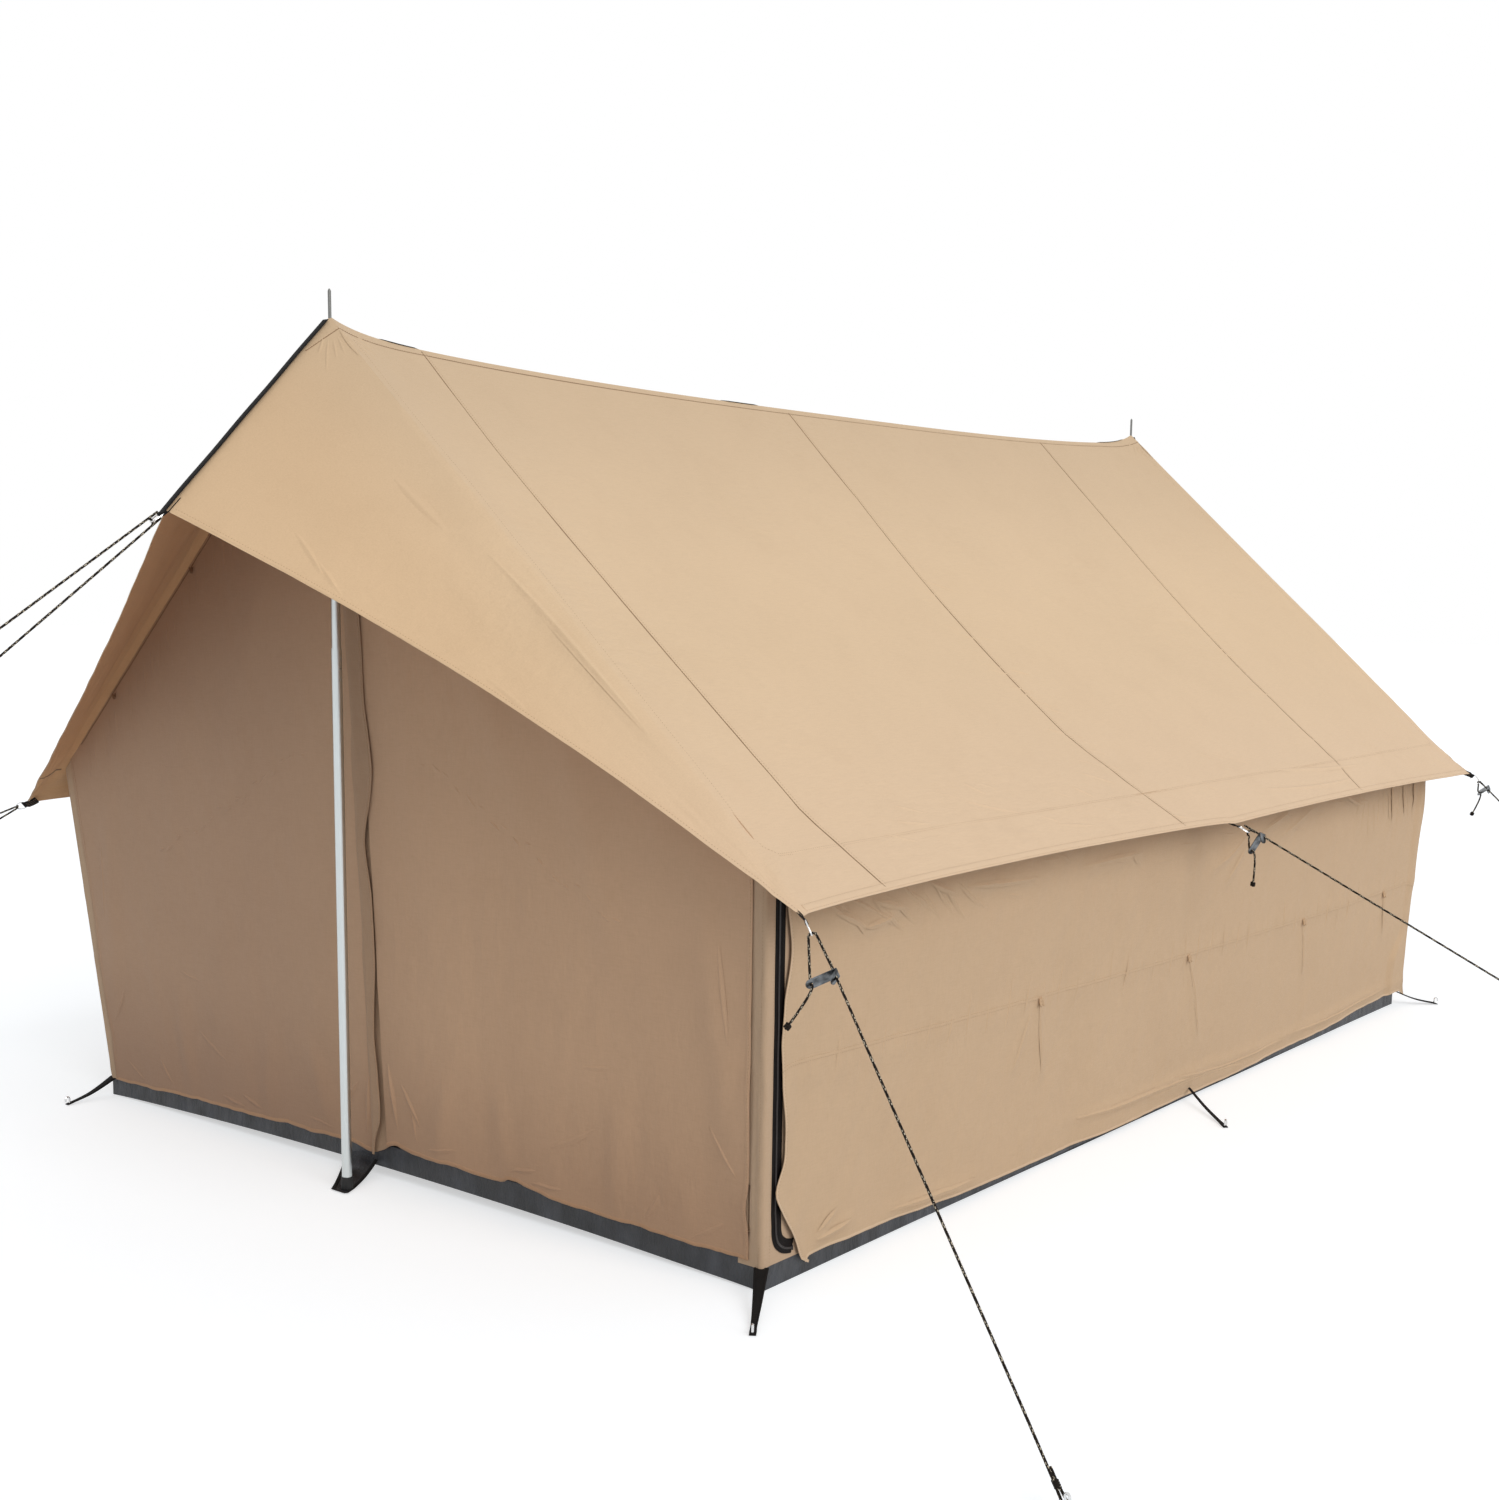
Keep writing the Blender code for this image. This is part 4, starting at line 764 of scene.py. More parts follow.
def roof_relief(u, v, point):
    """How far the cloth stands off its mean surface: soft folds, drawn creases and puckers at the seams."""
    fall = abs(v) * 2.0
    end = abs(u)
    inside = smooth(abs(v), 0.015, 0.12) * (1.0 - 0.5 * smooth(abs(v), 0.95, 1.0))
    side = 3.0 if v > 0 else 7.0
    y = POLE_Y * u
    off = 0.006 * ripple(point.y * 1.3, fall * 0.8, side)
    off += 0.0016 * ripple(point.y * 6.0, fall * 1.3, side + 0.7)
    near_eave = smooth(abs(v), 0.66, 0.9)
    off += 0.003 * near_eave * ripple(point.y * 3.0 - fall * 9.0, fall * 7.0, side + 1.3)
    gable = smooth(end, 0.86, 0.97) * fade(end, 1.02, 1.12)
    drawn = ripple(point.y * 12.0, fall * 1.7, side + 2.1)
    off += 0.0028 * gable * max(0.0, drawn + 0.1) * smooth(abs(v), 0.3, 0.55)
    beak = smooth(end, 1.02, 1.18)
    off += 0.0022 * beak * ripple(y * 15.0 + fall * 5.0, fall * 10.0, side + 3.3)
    off += creases(y, fall, ROOF_CREASES)
    peak = math.hypot(point.x, abs(point.y) - POLE_Y)
    turn = math.atan2(abs(point.x), abs(point.y) - POLE_Y)
    off += 0.0022 * math.exp(-peak / 0.14) * smooth(peak, 0.03, 0.08) * math.sin(turn * 9.0 + side)
    corner = math.hypot(abs(point.x) - EAVE_X, abs(point.y) - EAVE_END_Y)
    bearing = math.atan2(EAVE_X - abs(point.x), EAVE_END_Y - abs(point.y) + 0.05)
    off += 0.0034 * math.exp(-corner / 0.3) * smooth(corner, 0.03, 0.1) * math.sin(bearing * 13.0 + side)
    return off * inside


def roof_at(u, v, lift=0.0):
    """Point of the finished roof, and its normal."""
    step = 0.004
    point = roof_base(u, v)
    inner = v - step if v > 0.0 else v + step
    down = (point - roof_base(u, inner)) * (1.0 if v > 0.0 else -1.0)
    forward = roof_base(u + step, v) - roof_base(u - step, v)
    normal = down.cross(forward)
    if normal.z < 0.0:
        normal.negate()
    normal.normalize()
    return point + normal * (roof_relief(u, v, point) + lift), normal


def roof_line(path, steps):
    """Points and normals along a path of (u, v) places on the roof."""
    places = []
    for (u0, v0), (u1, v1) in zip(path, path[1:]):
        for t in [k / steps for k in range(steps)]:
            places.append((u0 + (u1 - u0) * t, v0 + (v1 - v0) * t))
    return zip(*[roof_at(u, v) for u, v in places + [path[-1]]])


def roof_folds():
    """The listed folds, the gathers that cross two of the seams, and the puckers round the peaks."""
    table = list(ROOF_FOLDS)
    for seam, first, last, gap in ((SEAMS[1], 0.42, 0.88, 0.019), (SEAMS[2], 0.5, 0.8, 0.026)):
        for n in range(int((last - first) / gap)):
            v = first + gap * (n + 0.6 * chance(n * 3.1 + gap * 90.0))
            y = POLE_Y * along_table([(b, a) for a, b in seam], v) + 0.16 * (chance(n * 5.7 + first) - 0.5)
            half = 0.04 + 0.05 * chance(n * 7.3 + first)
            rise = 0.001 + 0.0014 * chance(n * 2.3 + first)
            along = 0.93 * half
            down = 0.37 * half
            table.append((y - along, 2.0 * v - down, y + along, 2.0 * v + down, 0.008, rise))
    for n in range(26):
        y = -1.95 + 0.15 * n + 0.08 * chance(n * 4.1)
        fall = 1.7 + 0.17 * chance(n * 8.9)
        rise = 0.001 + 0.001 * chance(n * 1.3)
        table.append((y, fall, y + 0.07 + 0.08 * chance(n * 3.7), fall + 0.045, 0.009, rise))
    for end in (FRONT, BACK):
        for n in range(9):
            turn = math.radians(28.0 + 15.0 * n + 5.0 * chance(n + 0.5))
            near = 0.052 + 0.012 * chance(n * 2.9)
            far = near + 0.05 + 0.05 * chance(n * 6.1)
            ends = [(end * POLE_Y - math.cos(turn) * r, math.sin(turn) * r) for r in (near, far)]
            table.append((*ends[0], *ends[1], 0.007, 0.0022))
    return table


def build_roof():
    work = Work()
    seams = Work()
    beak_steps = 26
    ridge_steps = 176
    slope_steps = 54
    eave_steps = 8
    near = (0.004, 0.01, 0.018)
    us = [-1.0 - BEAK_U + BEAK_U * k / beak_steps for k in range(beak_steps)]
    for k in range(ridge_steps + 1):
        t = 2.0 * k / ridge_steps - 1.0
        us.append(1.25 * t - 0.25 * t**3)
    us += [1.0 + BEAK_U * k / beak_steps for k in range(1, beak_steps + 1)]
    slope = [near[-1] + (TOP_V - near[-1]) * k / slope_steps for k in range(1, slope_steps + 1)]
    half = [*near, *slope] + [TOP_V + (1.0 - TOP_V) * k / eave_steps for k in range(1, eave_steps + 1)]
    vs = [-v for v in reversed(half)] + [0.0] + half
    grid = [[roof_at(u, v)[0] for v in vs] for u in us]
    form = cloth(grid, ROOF_SHEET_T, UP)
    tops = (len(us) - 1) * (len(vs) - 1) * 2
    work.add(form, [k % 2 if k < tops else 0 for k in range(len(form[1]))])

    def run(points, normals, aside, lift=0.0):
        seams.add(stitch_row(beside(points, normals, aside), normals, lift))

    def raised(path, steps, width, rows, thick=0.0008, shadow_line_w=0.0, faint=()):
        points, normals = roof_line(path, steps)
        work.add(ribbon(points, normals, width, thick, SUNK))
        for row in rows:
            run(points, normals, row * width, thick)
        # A thin dark line of painted shadow runs along one edge of the seam, narrower where the seam hardly
        # shows.
        if not shadow_line_w:
            return
        widths = []
        for k, p in enumerate(points):
            share = k / (len(points) - 1)
            shown = 1.0
            for first, final in faint:
                shown -= smooth(share, first, first + 0.05) * fade(share, final - 0.05, final)
            widths.append(0.0007 + shadow_line_w * shown * (0.5 + 0.5 * abs(ripple(p.z * 4.0, p.y, 8.0)) / 0.4))
        work.add(ribbon(beside(points, normals, width * 0.5), normals, widths, thick * 0.8, -SUNK), 2)

    last = 1.0 + BEAK_U
    edge_u = last - 0.004       # middle of a beak's hem
    hem_v = 0.993               # middle of an eave's hem
    sewn_u = 0.972              # the side walls' seams end here
    for sign in (-1.0, 1.0):
        for seam, faint in zip(SEAMS, FAINT):
            raised([(u, sign * v) for u, v in seam], 22, 0.013, (-0.38, 0.38), 0.0008, 0.0036, faint)
        ridge = [(-1.045, 0.004), (-1.0, 0.021), (-0.96, 0.016), (-0.86, 0.01)]
        ridge += [(-u, v) for u, v in reversed(ridge)]
        raised([(u, sign * v) for u, v in ridge], 26, 0.01, (0.3,), 0.0007, 0.0024, [(0.46, 0.6)])
        for row in roof_folds():
            work.add(fold(lambda y, fall: roof_at(y / POLE_Y, sign * fall / 2.0), *row))
        for end in (-1.0, 1.0):
            edge = [(end * edge_u, sign * 0.006), (end * edge_u, sign * 0.992)]
            raised(edge, 90, HEM_W * 0.5, (-0.36,), HEM_T)
            gable = [(end * 0.985, sign * 0.03), (end * 0.986, sign * (TOP_V - 0.035))]
            gable += [(end * 0.984, sign * (TOP_V - 0.012)), (end * sewn_u, sign * TOP_V)]
            run(*roof_line(gable[:2], 70), 0.0)
            run(*roof_line(gable[1:], 5), 0.0)
        top_line = [*roof_line([(-sewn_u, sign * TOP_V), (sewn_u, sign * TOP_V)], 140)]
        for aside in (0.0, 0.006):
            run(*top_line, aside)
        raised([(-1.0, sign * hem_v), (1.0, sign * hem_v)], 150, HEM_W, (-0.4, 0.4), HEM_T)
    looks = [roof_canvas, roof_under, seam_shade]
    roof = work.piece("roof_cloth", looks, "tent", 50.0, ["roof_canopy"], "roof_canvas")
    seams.piece("roof_stitching", [thread], "tent", slot="roof_canvas")
    under = Work()
    for sign in (-1.0, 1.0):
        for end in (-1.0, 1.0):
            # Dark line of painted shadow along the seam under each beak.
            path = [(end * 0.992, sign * TOP_V), (end * (last - 0.006), sign * TOP_V)]
            points, normals = roof_line(path, 30)
            under.add(ribbon(points, [-n for n in normals], 0.007, 0.0007, ROOF_SHEET_T))
            for share in (0.49, 0.79):
                root = roof_at(end * 0.99, sign * TOP_V * share, -0.018)[0]
                for n in (-1, 0, 1):
                    way = (Vector((-sign * 0.35 + 0.22 * n, end * 0.3, -0.9))).normalized()
                    under.add(tie_loop(root, way, Vector((0.0, -end, 0.0)), 0.85 - 0.1 * abs(n)))
    under.piece("roof_inner_seams", [seam_shade], "tent", slot="roof_canvas")


build_roof()


def ridge_tape():
    """Webbing that runs down the far side of the ridge and shows over it where the cloth hangs low."""
    line = []
    soft = 0.02
    for k in range(161):
        u = -0.97 + 1.94 * k / 160
        shown = 0.0
        for first, last in ((-0.93, -0.86), (-0.285, -0.19), (0.86, 0.97)):
            shown = max(shown, smooth(u, first - soft, first + soft) * fade(u, last - soft, last + soft))
        line.append(roof_at(u, -0.0085 + 0.0058 * shown, 0.0006 + 0.0016 * shown))
    work = Work()
    work.add(ribbon(*zip(*line), 0.018, 0.0014))
    work.piece("ridge_tape", [black_web], "tent", 40.0, slot="black_webbing")


ridge_tape()


# Leaning walls, doors and corners

def gable_seam(x):
    share = abs(x) / WALL_TOP_X
    ridge_end = ridge_z(GABLE_TOP_Y) - ROOF_T - SEAM_GAP
    return (
        GABLE_TOP_Y + (GABLE_CORNER_Y - GABLE_TOP_Y) * share,
        ridge_end + (WALL_TOP_Z - ridge_end) * share,
    )


def door_y(x, z):
    seam_y, seam_z = gable_seam(x)
    hem_y = BASE_Y + LAP_STACK
    return hem_y + (seam_y - hem_y) * (z - HEM_Z) / (seam_z - HEM_Z)


def wall_x(z):
    hem_x = BASE_X + LAP_STACK
    return hem_x + (WALL_TOP_X - hem_x) * (z - HEM_Z) / (WALL_TOP_Z - HEM_Z)


def strip_x(z):
    return wall_x(z) - LAP_STEP


def strip_y(x, z):
    return door_y(x, z) - LAP_STEP


# Height of the front doors' foot across the tent
FRONT_HEM = [
    (-1.4, 0.058), (-0.885, 0.074), (-0.38, 0.082), (-0.156, 0.082), (-0.04, 0.072), (0.041, 0.108),
    (0.12, 0.101), (0.352, 0.099), (0.5, 0.096), (0.529, 0.11), (0.611, 0.103), (0.716, 0.088),
    (1.003, 0.079), (1.362, 0.074),
]
# Broad and sharp folds of a door: both ends in metres from the middle and the ground, width, height
DOOR_CREASES = [
    (0.24, 0.13, 0.3, 0.34, 0.034, 0.008), (0.52, 0.12, 0.5, 0.36, 0.034, 0.008),
    (0.92, 0.1, 0.94, 0.4, 0.036, 0.008), (0.35, 1.8, 0.6, 1.2, 0.06, 0.008),
    (0.8, 1.35, 0.95, 0.8, 0.06, 0.008), (1.25, 0.98, 1.3, 0.4, 0.045, 0.008),
]
DOOR_FOLDS = [
    (0.041, 0.34, 0.067, 0.14, 0.014, 0.006), (0.095, 0.29, 0.17, 0.18, 0.012, 0.0044),
    (0.13, 0.26, 0.15, 0.13, 0.01, 0.0034), (0.825, 0.491, 0.93, 0.512, 0.009, 0.0022),
    (0.54, 0.118, 0.64, 0.15, 0.01, 0.0036), (0.62, 0.11, 0.74, 0.128, 0.01, 0.0034),
    (0.2, 0.12, 0.33, 0.14, 0.009, 0.0026), (0.7, 0.24, 0.86, 0.33, 0.012, 0.0026),
    (1.02, 0.12, 1.08, 0.21, 0.01, 0.0028), (1.18, 0.11, 1.28, 0.17, 0.01, 0.0026),
    (1.3, 0.9, 1.32, 0.64, 0.012, 0.003), (1.25, 0.42, 1.33, 0.3, 0.01, 0.0026),
]


def door_folds():
    """The listed folds, a slanting row of puckers and the gathers under the gable seam."""
    table = list(DOOR_FOLDS)
    for n in range(17):
        x = 0.25 + 0.044 * n
        z = 1.245 - 0.5 * (x - 0.25) + 0.035 * (chance(n * 3.3) - 0.5)
        reach = 0.02 + 0.022 * chance(n * 5.1)
        rise = 0.0016 + 0.0012 * chance(n * 7.7)
        table.append((x, z, x + reach, z - reach * (0.2 + 0.9 * chance(n * 2.2)), 0.007, rise))
    for n in range(30):
        x = 0.1 + 0.042 * n
        z = gable_seam(x)[1] - 0.045
        length = 0.05 + 0.09 * chance(n * 4.3)
        rise = 0.0014 + 0.0012 * chance(n * 6.7)
        table.append((x, z, x + 0.25 * length * (chance(n * 1.9) - 0.3), z - length, 0.008, rise))
    return table


def door_hem(x, end):
    base = along_table(FRONT_HEM, x) if end == FRONT else 0.072
    return base + 0.0045 * ripple(x * 9.0, 0.4, end * 2.0) + 0.003 * ripple(x * 30.0, 2.4, end)


def door_point(side, end, across, up, lift=0.0):
    """Point of a door's cloth; across runs from the middle of the end to the corner strip."""
    x_foot = strip_x(HEM_Z) - DOOR_TO_CORNER
    x_head = strip_x(WALL_TOP_Z) - DOOR_TO_CORNER
    start = DOOR_SPLIT
    if side * end > 0.0:
        start += 0.026 * fade(up, 0.0, 0.045)
    foot_x = start + (x_foot - start) * across
    head_x = DOOR_SPLIT + (x_head - DOOR_SPLIT) * across
    x = foot_x + (head_x - foot_x) * up
    hem = door_hem(side * foot_x, end)
    z = hem + (gable_seam(head_x)[1] - hem) * up
    loose = (1.0 - up) ** 0.7
    seed = 11.0 + 3.0 * side + end
    wave = 0.5 - 0.5 * math.cos(math.tau * 3.0 * across)
    off = 0.01 * wave * (1.0 - up) ** 2.2 * math.sin(math.pi * across)
    billow = 0.01 * (0.5 + 0.5 * ripple(x * 1.7, z * 1.1, seed))
    off += billow * loose * math.sin(math.pi * clamp(across + 0.1))
    off += 0.0046 * (0.4 + ripple(x * 7.0 + z * 1.6, z * 1.2, seed + 1.0)) * loose
    off += 0.0022 * (0.4 + ripple(x * 20.0 - z * 5.0, z * 5.0, seed + 2.0)) * smooth(up, 0.0, 0.1)
    pull = math.exp(-abs(up - 0.97) / 0.1)
    off += 0.003 * (0.5 + ripple(x * 22.0, z * 4.0, seed + 3.0)) * pull * smooth(1.0 - up, 0.0, 0.03)
    off += creases(x, z, DOOR_CREASES) * smooth(1.0 - up, 0.0, 0.1)
    x -= 0.009 * math.exp(-((z - 0.21) / 0.045) ** 2) * smooth(across, 0.9, 1.0)
    off += smooth(across, 0.955, 1.0) * 0.0035 * abs(ripple(z * 7.0, 0.5, seed))
    off = max(off, 0.0003) * smooth(1.0 - up, 0.0, 0.004)
    return Vector((side * x, end * (door_y(x, z) + off + lift), z))


def line_on(place, steps, outward):
    """Points and constant normals of a line given by place(t)."""
    points = [place(k / steps) for k in range(steps + 1)]
    return points, [outward] * len(points)


def hem_on(work, place, steps, outward, width, row=0.36, look=0):
    """Turned hem along a cloth's edge, with its stitching."""
    points, normals = line_on(place, steps, outward)
    work.add(ribbon(points, normals, width, HEM_T, SUNK), look)
    moved = [p + tangent(points, k).cross(outward).normalized() * width * row for k, p in enumerate(points)]
    work.add(stitch_row(moved, normals, HEM_T), 1)


def build_door(side, end):
    work = Work()
    outward = Vector((0.0, end, 0.0))
    grid = grid_of(lambda across, up: door_point(side, end, across, up**1.1), 84, 76)
    work.add(cloth(grid, PANEL_T, outward))
    hem_on(work, lambda t: door_point(side, end, t, HEM_UP), 80, outward, 0.01, look=2)

    def outer_edge(t):
        return door_point(side, end, 0.994, 0.004 + 0.985 * t)

    hem_on(work, outer_edge, 70, outward, 0.01, -0.3 * side * end)
    # Dark line of painted shadow along the door's top seam.
    points, normals = line_on(lambda t: door_point(side, end, 0.01 + 0.94 * t, 0.9925), 70, outward)
    work.add(ribbon(points, normals, 0.004, 0.0009), 3)

    def place(x, z):
        bottom = 0.09
        up = clamp((z - bottom) / (gable_seam(x)[1] - bottom), 0.0, 1.0)
        foot = strip_x(HEM_Z) - DOOR_TO_CORNER
        across = clamp((x - DOOR_SPLIT) / (foot + (strip_x(WALL_TOP_Z) - strip_x(HEM_Z)) * up - DOOR_SPLIT))
        return door_point(side, end, across, up, 0.0002), outward

    for row in door_folds():
        work.add(fold(place, *row))
    name = f"{tag_of(side, end)}_door"
    looks = [door_canvas, thread, door_hem_canvas, seam_shade]
    piece = work.piece(f"{name}_cloth", looks, name, 50.0, [name], "wall_canvas")


# Free edge of the doors' overlap: height and place across
OVERLAP_EDGE = [
    (0.06, -0.0405), (0.111, -0.033), (0.176, 0.0), (0.292, 0.001), (0.411, -0.006), (0.62, 0.012),
    (0.83, 0.016), (0.986, -0.001), (1.1, 0.03), (1.205, 0.049), (1.379, 0.031), (1.652, 0.029),
    (1.8, 0.012), (1.93, -0.01),
]


def overlap_edge(z):
    return along_table(OVERLAP_EDGE, z)


def door_margin(kind, side, end, place, hem, steps, width, row):
    """Loose margin of a door half behind the pole, carried by its door."""
    outward = Vector((0.0, end, 0.0))
    work = Work()
    work.add(cloth(grid_of(place, MARGIN_COLUMNS, MARGIN_ROWS), STRIP_T, outward))
    hem_on(work, hem, steps, outward, width, row)
    name = f"{tag_of(side, end)}_door"
    # The margins take the darker copy of the door canvas: painted shade.
    looks = [shaded_overlap_canvas, thread]
    piece = work.piece(f"{END_NAME[end]}_door_{kind}", looks, name, 50.0, slot="wall_canvas")
    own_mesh(piece)
    return piece, f"{name}_cloth"


def build_overlap(end):
    """The margin of one door half laps over the other, whose own margin runs on behind it."""
    side = LEFT if end == FRONT else RIGHT
    top_z = 1.93

    def over(across, up):
        hem = door_hem(side * (DOOR_SPLIT + 0.03), end) - 0.004 * across
        z = hem + (top_z - hem) * up
        start = -DOOR_SPLIT - 0.03
        finish = overlap_edge(z) + 0.0015 * ripple(z * 13.0, 0.3, 4.0)
        x = start + (finish - start) * across
        lift = 0.0052 * smooth(across, 0.0, 0.35) * (1.0 - 0.6 * smooth(up, 0.88, 1.0))
        lift += 0.003 * across * (0.5 + ripple(z * 7.0, 1.0, 9.0))
        depth = door_y(x, z) + 0.0016 + lift + 0.004 * (1.0 - up) * (0.5 + ripple(z * 3.0, 0.0, 2.0))
        return Vector((-x * side, end * depth, z))

    def behind(across, up):
        x = DOOR_SPLIT + 0.012 - (UNDERLAP + DOOR_SPLIT + 0.012) * across
        hem = door_hem(-x * side, end) - 0.0006
        z = hem + (top_z - hem) * up
        return Vector((-x * side, end * (door_y(x, z) - 0.0024), z))

    free_edge = (lambda t: over(0.88, t), MARGIN_ROWS, 0.01, 0.3)
    piece, door = door_margin("overlap", side, end, over, *free_edge)
    foot = (lambda t: behind(t, HEM_UP), MARGIN_COLUMNS, 0.012, 0.36)
    piece, door = door_margin("underlap", -side, end, behind, *foot)


for end in (FRONT, BACK):
    for side in (LEFT, RIGHT):
        build_door(side, end)
    build_overlap(end)


# Side walls: height of the foot along the tent, then each free edge by height, then the broad folds
SIDE_HEM = [
    (-1.97, 0.03), (-1.93, 0.046), (-1.78, 0.047), (-1.35, 0.034), (-0.676, 0.02), (0.17, 0.015),
    (1.2, 0.029), (2.0, 0.056), (2.14, 0.06), (2.2, 0.03),
]
SIDE_FRONT = [
    (0.029, 1.962), (0.041, 1.995), (0.1, 2.03), (0.169, 2.078), (0.232, 2.121), (0.262, 2.124),
    (0.33, 2.101), (0.408, 2.106), (0.615, 2.138), (0.739, 2.14), (0.86, 2.128), (0.973, 2.154),
    (1.097, 2.166),
]
SIDE_BACK = [
    (0.02, 2.222), (0.06, 2.2), (0.13, 2.176), (0.4, 2.176), (0.74, 2.188), (0.88, 2.188),
    (0.96, 2.168), (1.097, 2.172),
]
WALL_CREASES = [
    (-1.36, 0.925, -0.99, 0.905, 0.02, 0.008), (-0.7, 0.905, -0.34, 0.91, 0.02, 0.007),
    (-1.96, 0.93, -1.83, 0.875, 0.018, 0.008), (-1.83, 0.875, -1.7, 0.89, 0.018, 0.008),
    (-1.8, 0.94, -1.64, 0.9, 0.018, 0.006), (-1.55, 0.96, -1.42, 0.915, 0.018, 0.006),
    (0.44, 0.89, 0.2, 0.8, 0.02, 0.008), (0.46, 0.86, 0.3, 0.74, 0.02, 0.006),
    (0.78, 0.94, 0.56, 0.89, 0.02, 0.007), (0.98, 0.93, 0.74, 0.86, 0.022, 0.006),
    (1.78, 0.985, 1.84, 0.82, 0.018, 0.009), (1.9, 0.985, 1.97, 0.83, 0.016, 0.01),
    (2.03, 0.99, 2.08, 0.86, 0.016, 0.01), (1.3, 0.96, 1.5, 0.9, 0.022, 0.006),
    (0.06, 0.52, 0.2, 0.22, 0.022, 0.007), (-0.92, 0.53, -0.86, 0.3, 0.022, 0.006),
    (-0.96, 0.51, -1.04, 0.34, 0.02, 0.005), (1.02, 0.49, 1.07, 0.3, 0.022, 0.006),
    (1.85, 0.5, 1.89, 0.34, 0.02, 0.006), (-0.6, 0.105, 0.26, 0.078, 0.015, 0.008),
    (0.06, 0.1, 0.96, 0.07, 0.015, 0.008), (-0.1, 0.06, 0.6, 0.045, 0.012, 0.006),
    (1.0, 0.078, 2.06, 0.1, 0.015, 0.008), (-1.94, 0.082, -1.8, 0.1, 0.014, 0.008),
    (-1.94, 0.1, -1.86, 0.145, 0.014, 0.006), (-1.6, 0.07, -1.2, 0.062, 0.016, 0.006),
]


def wall_folds():
    """Sharp folds of a side wall: the broad ones' crests, gathers under the eave and along the sewn tape."""
    table = [(*row[:4], 0.011, row[5] * 0.55) for row in WALL_CREASES]
    for n in range(12):
        y = -2.02 + 0.055 * n
        z = 0.985 - 0.05 * chance(n * 2.7)
        foot = z - 0.07 - 0.04 * chance(n * 1.6)
        table.append((y, z, y + 0.1 + 0.08 * chance(n * 4.4), foot, 0.009, 0.003))
    for n in range(22):
        y = -1.35 + 0.155 * n + 0.06 * chance(n * 3.9)
        z = 0.965 - 0.1 * chance(n * 5.3)
        table.append((y, z, y + 0.06 + 0.1 * chance(n * 6.6), z - 0.04 * chance(n * 8.1), 0.009, 0.0016))
    for n in range(40):
        y = -2.02 + 0.102 * n
        z = 0.585 - 0.014 * y
        top = 0.02 + 0.1 * chance(n * 2.1)
        low = 0.03 + 0.05 * chance(n * 9.1)
        rise = 0.0012 + 0.0018 * chance(n * 3.5)
        table.append((y + 0.03 * chance(n * 5.9), z - 0.06 + top, y, z - 0.06 - low, 0.008, rise))
    for n in range(12):
        y = 1.45 + 0.055 * n
        z = 0.96 - 0.05 * chance(n * 4.7)
        table.append((y, z, y + 0.05 * chance(n * 1.2), z - 0.1 - 0.08 * chance(n * 7.1), 0.009, 0.003))
    return table


def side_edge(z, end):
    """Distance from the middle of a side wall's free edge, which ends in a loose pointed corner."""
    return along_table(SIDE_BACK if end == BACK else SIDE_FRONT, z)


def wall_point(side, along, up, lift=0.0):
    """Point of a side wall's cloth; along runs from its front edge to its back one."""
    rough_y = WALL_START + WALL_LENGTH * along
    hem = along_table(SIDE_HEM, rough_y) + 0.002 * ripple(rough_y * 9.0, 0.0, side)
    z = hem + (WALL_TOP_Z - hem) * up
    first = -side_edge(z, FRONT)
    y = first + (side_edge(z, BACK) - first) * along
    seed = 31.0 + side
    loose = (1.0 - up) ** 0.8
    centre = 2.0 * along - 1.0
    free = 1.0 - centre**6
    wave = 0.5 - 0.5 * math.cos(math.pi * 5.0 * centre)
    off = 0.009 * wave * (1.0 - up) ** 1.5 * free
    billow = 0.012 * (0.5 + 0.5 * ripple(y * 1.3, z * 1.2, seed))
    off += billow * math.sin(math.pi * clamp(up * 0.9 + 0.05)) * free
    off += 0.006 * (0.4 + ripple(y * 6.0 + z * 2.0, z * 1.6, seed + 1.0)) * (0.3 + 0.7 * loose)
    off += 0.0024 * (0.4 + ripple(y * 18.0 - z * 6.0, z * 6.0, seed + 2.0))
    top = math.exp(-(1.0 - up) / 0.1) * smooth(1.0 - up, 0.0, 0.03)
    off += 0.004 * (0.5 + ripple(y * 16.0, z * 5.0, seed + 3.0)) * top
    off += 0.0045 * math.exp(-((z - 0.53) / 0.03) ** 2) * (0.5 + ripple(y * 26.0, 0.2, seed + 4.0))
    off += creases(y, z, WALL_CREASES)
    edge = fade(along, 0.0, 0.012)
    off += edge * (0.003 + 0.005 * abs(ripple(z * 8.0, 0.1, seed)))
    off = max(off, 0.0003) * smooth(1.0 - up, 0.0, 0.02)
    reach = 0.105 * fade(z, 0.2, 0.34)
    off += (0.0115 + 0.05 * reach) * smooth(y, 2.115 - reach, 2.15 - reach) * smooth(1.0 - up, 0.0, 0.06)
    off += 0.01 * fade(y, -2.1, -1.98) * fade(z, 0.03, 0.2)
    return Vector((side * (wall_x(z) + off + lift), y, z))


def tape_up(along):
    """Height of the sewn tape, as a share of the wall's."""
    return 0.5 - 0.055 * along


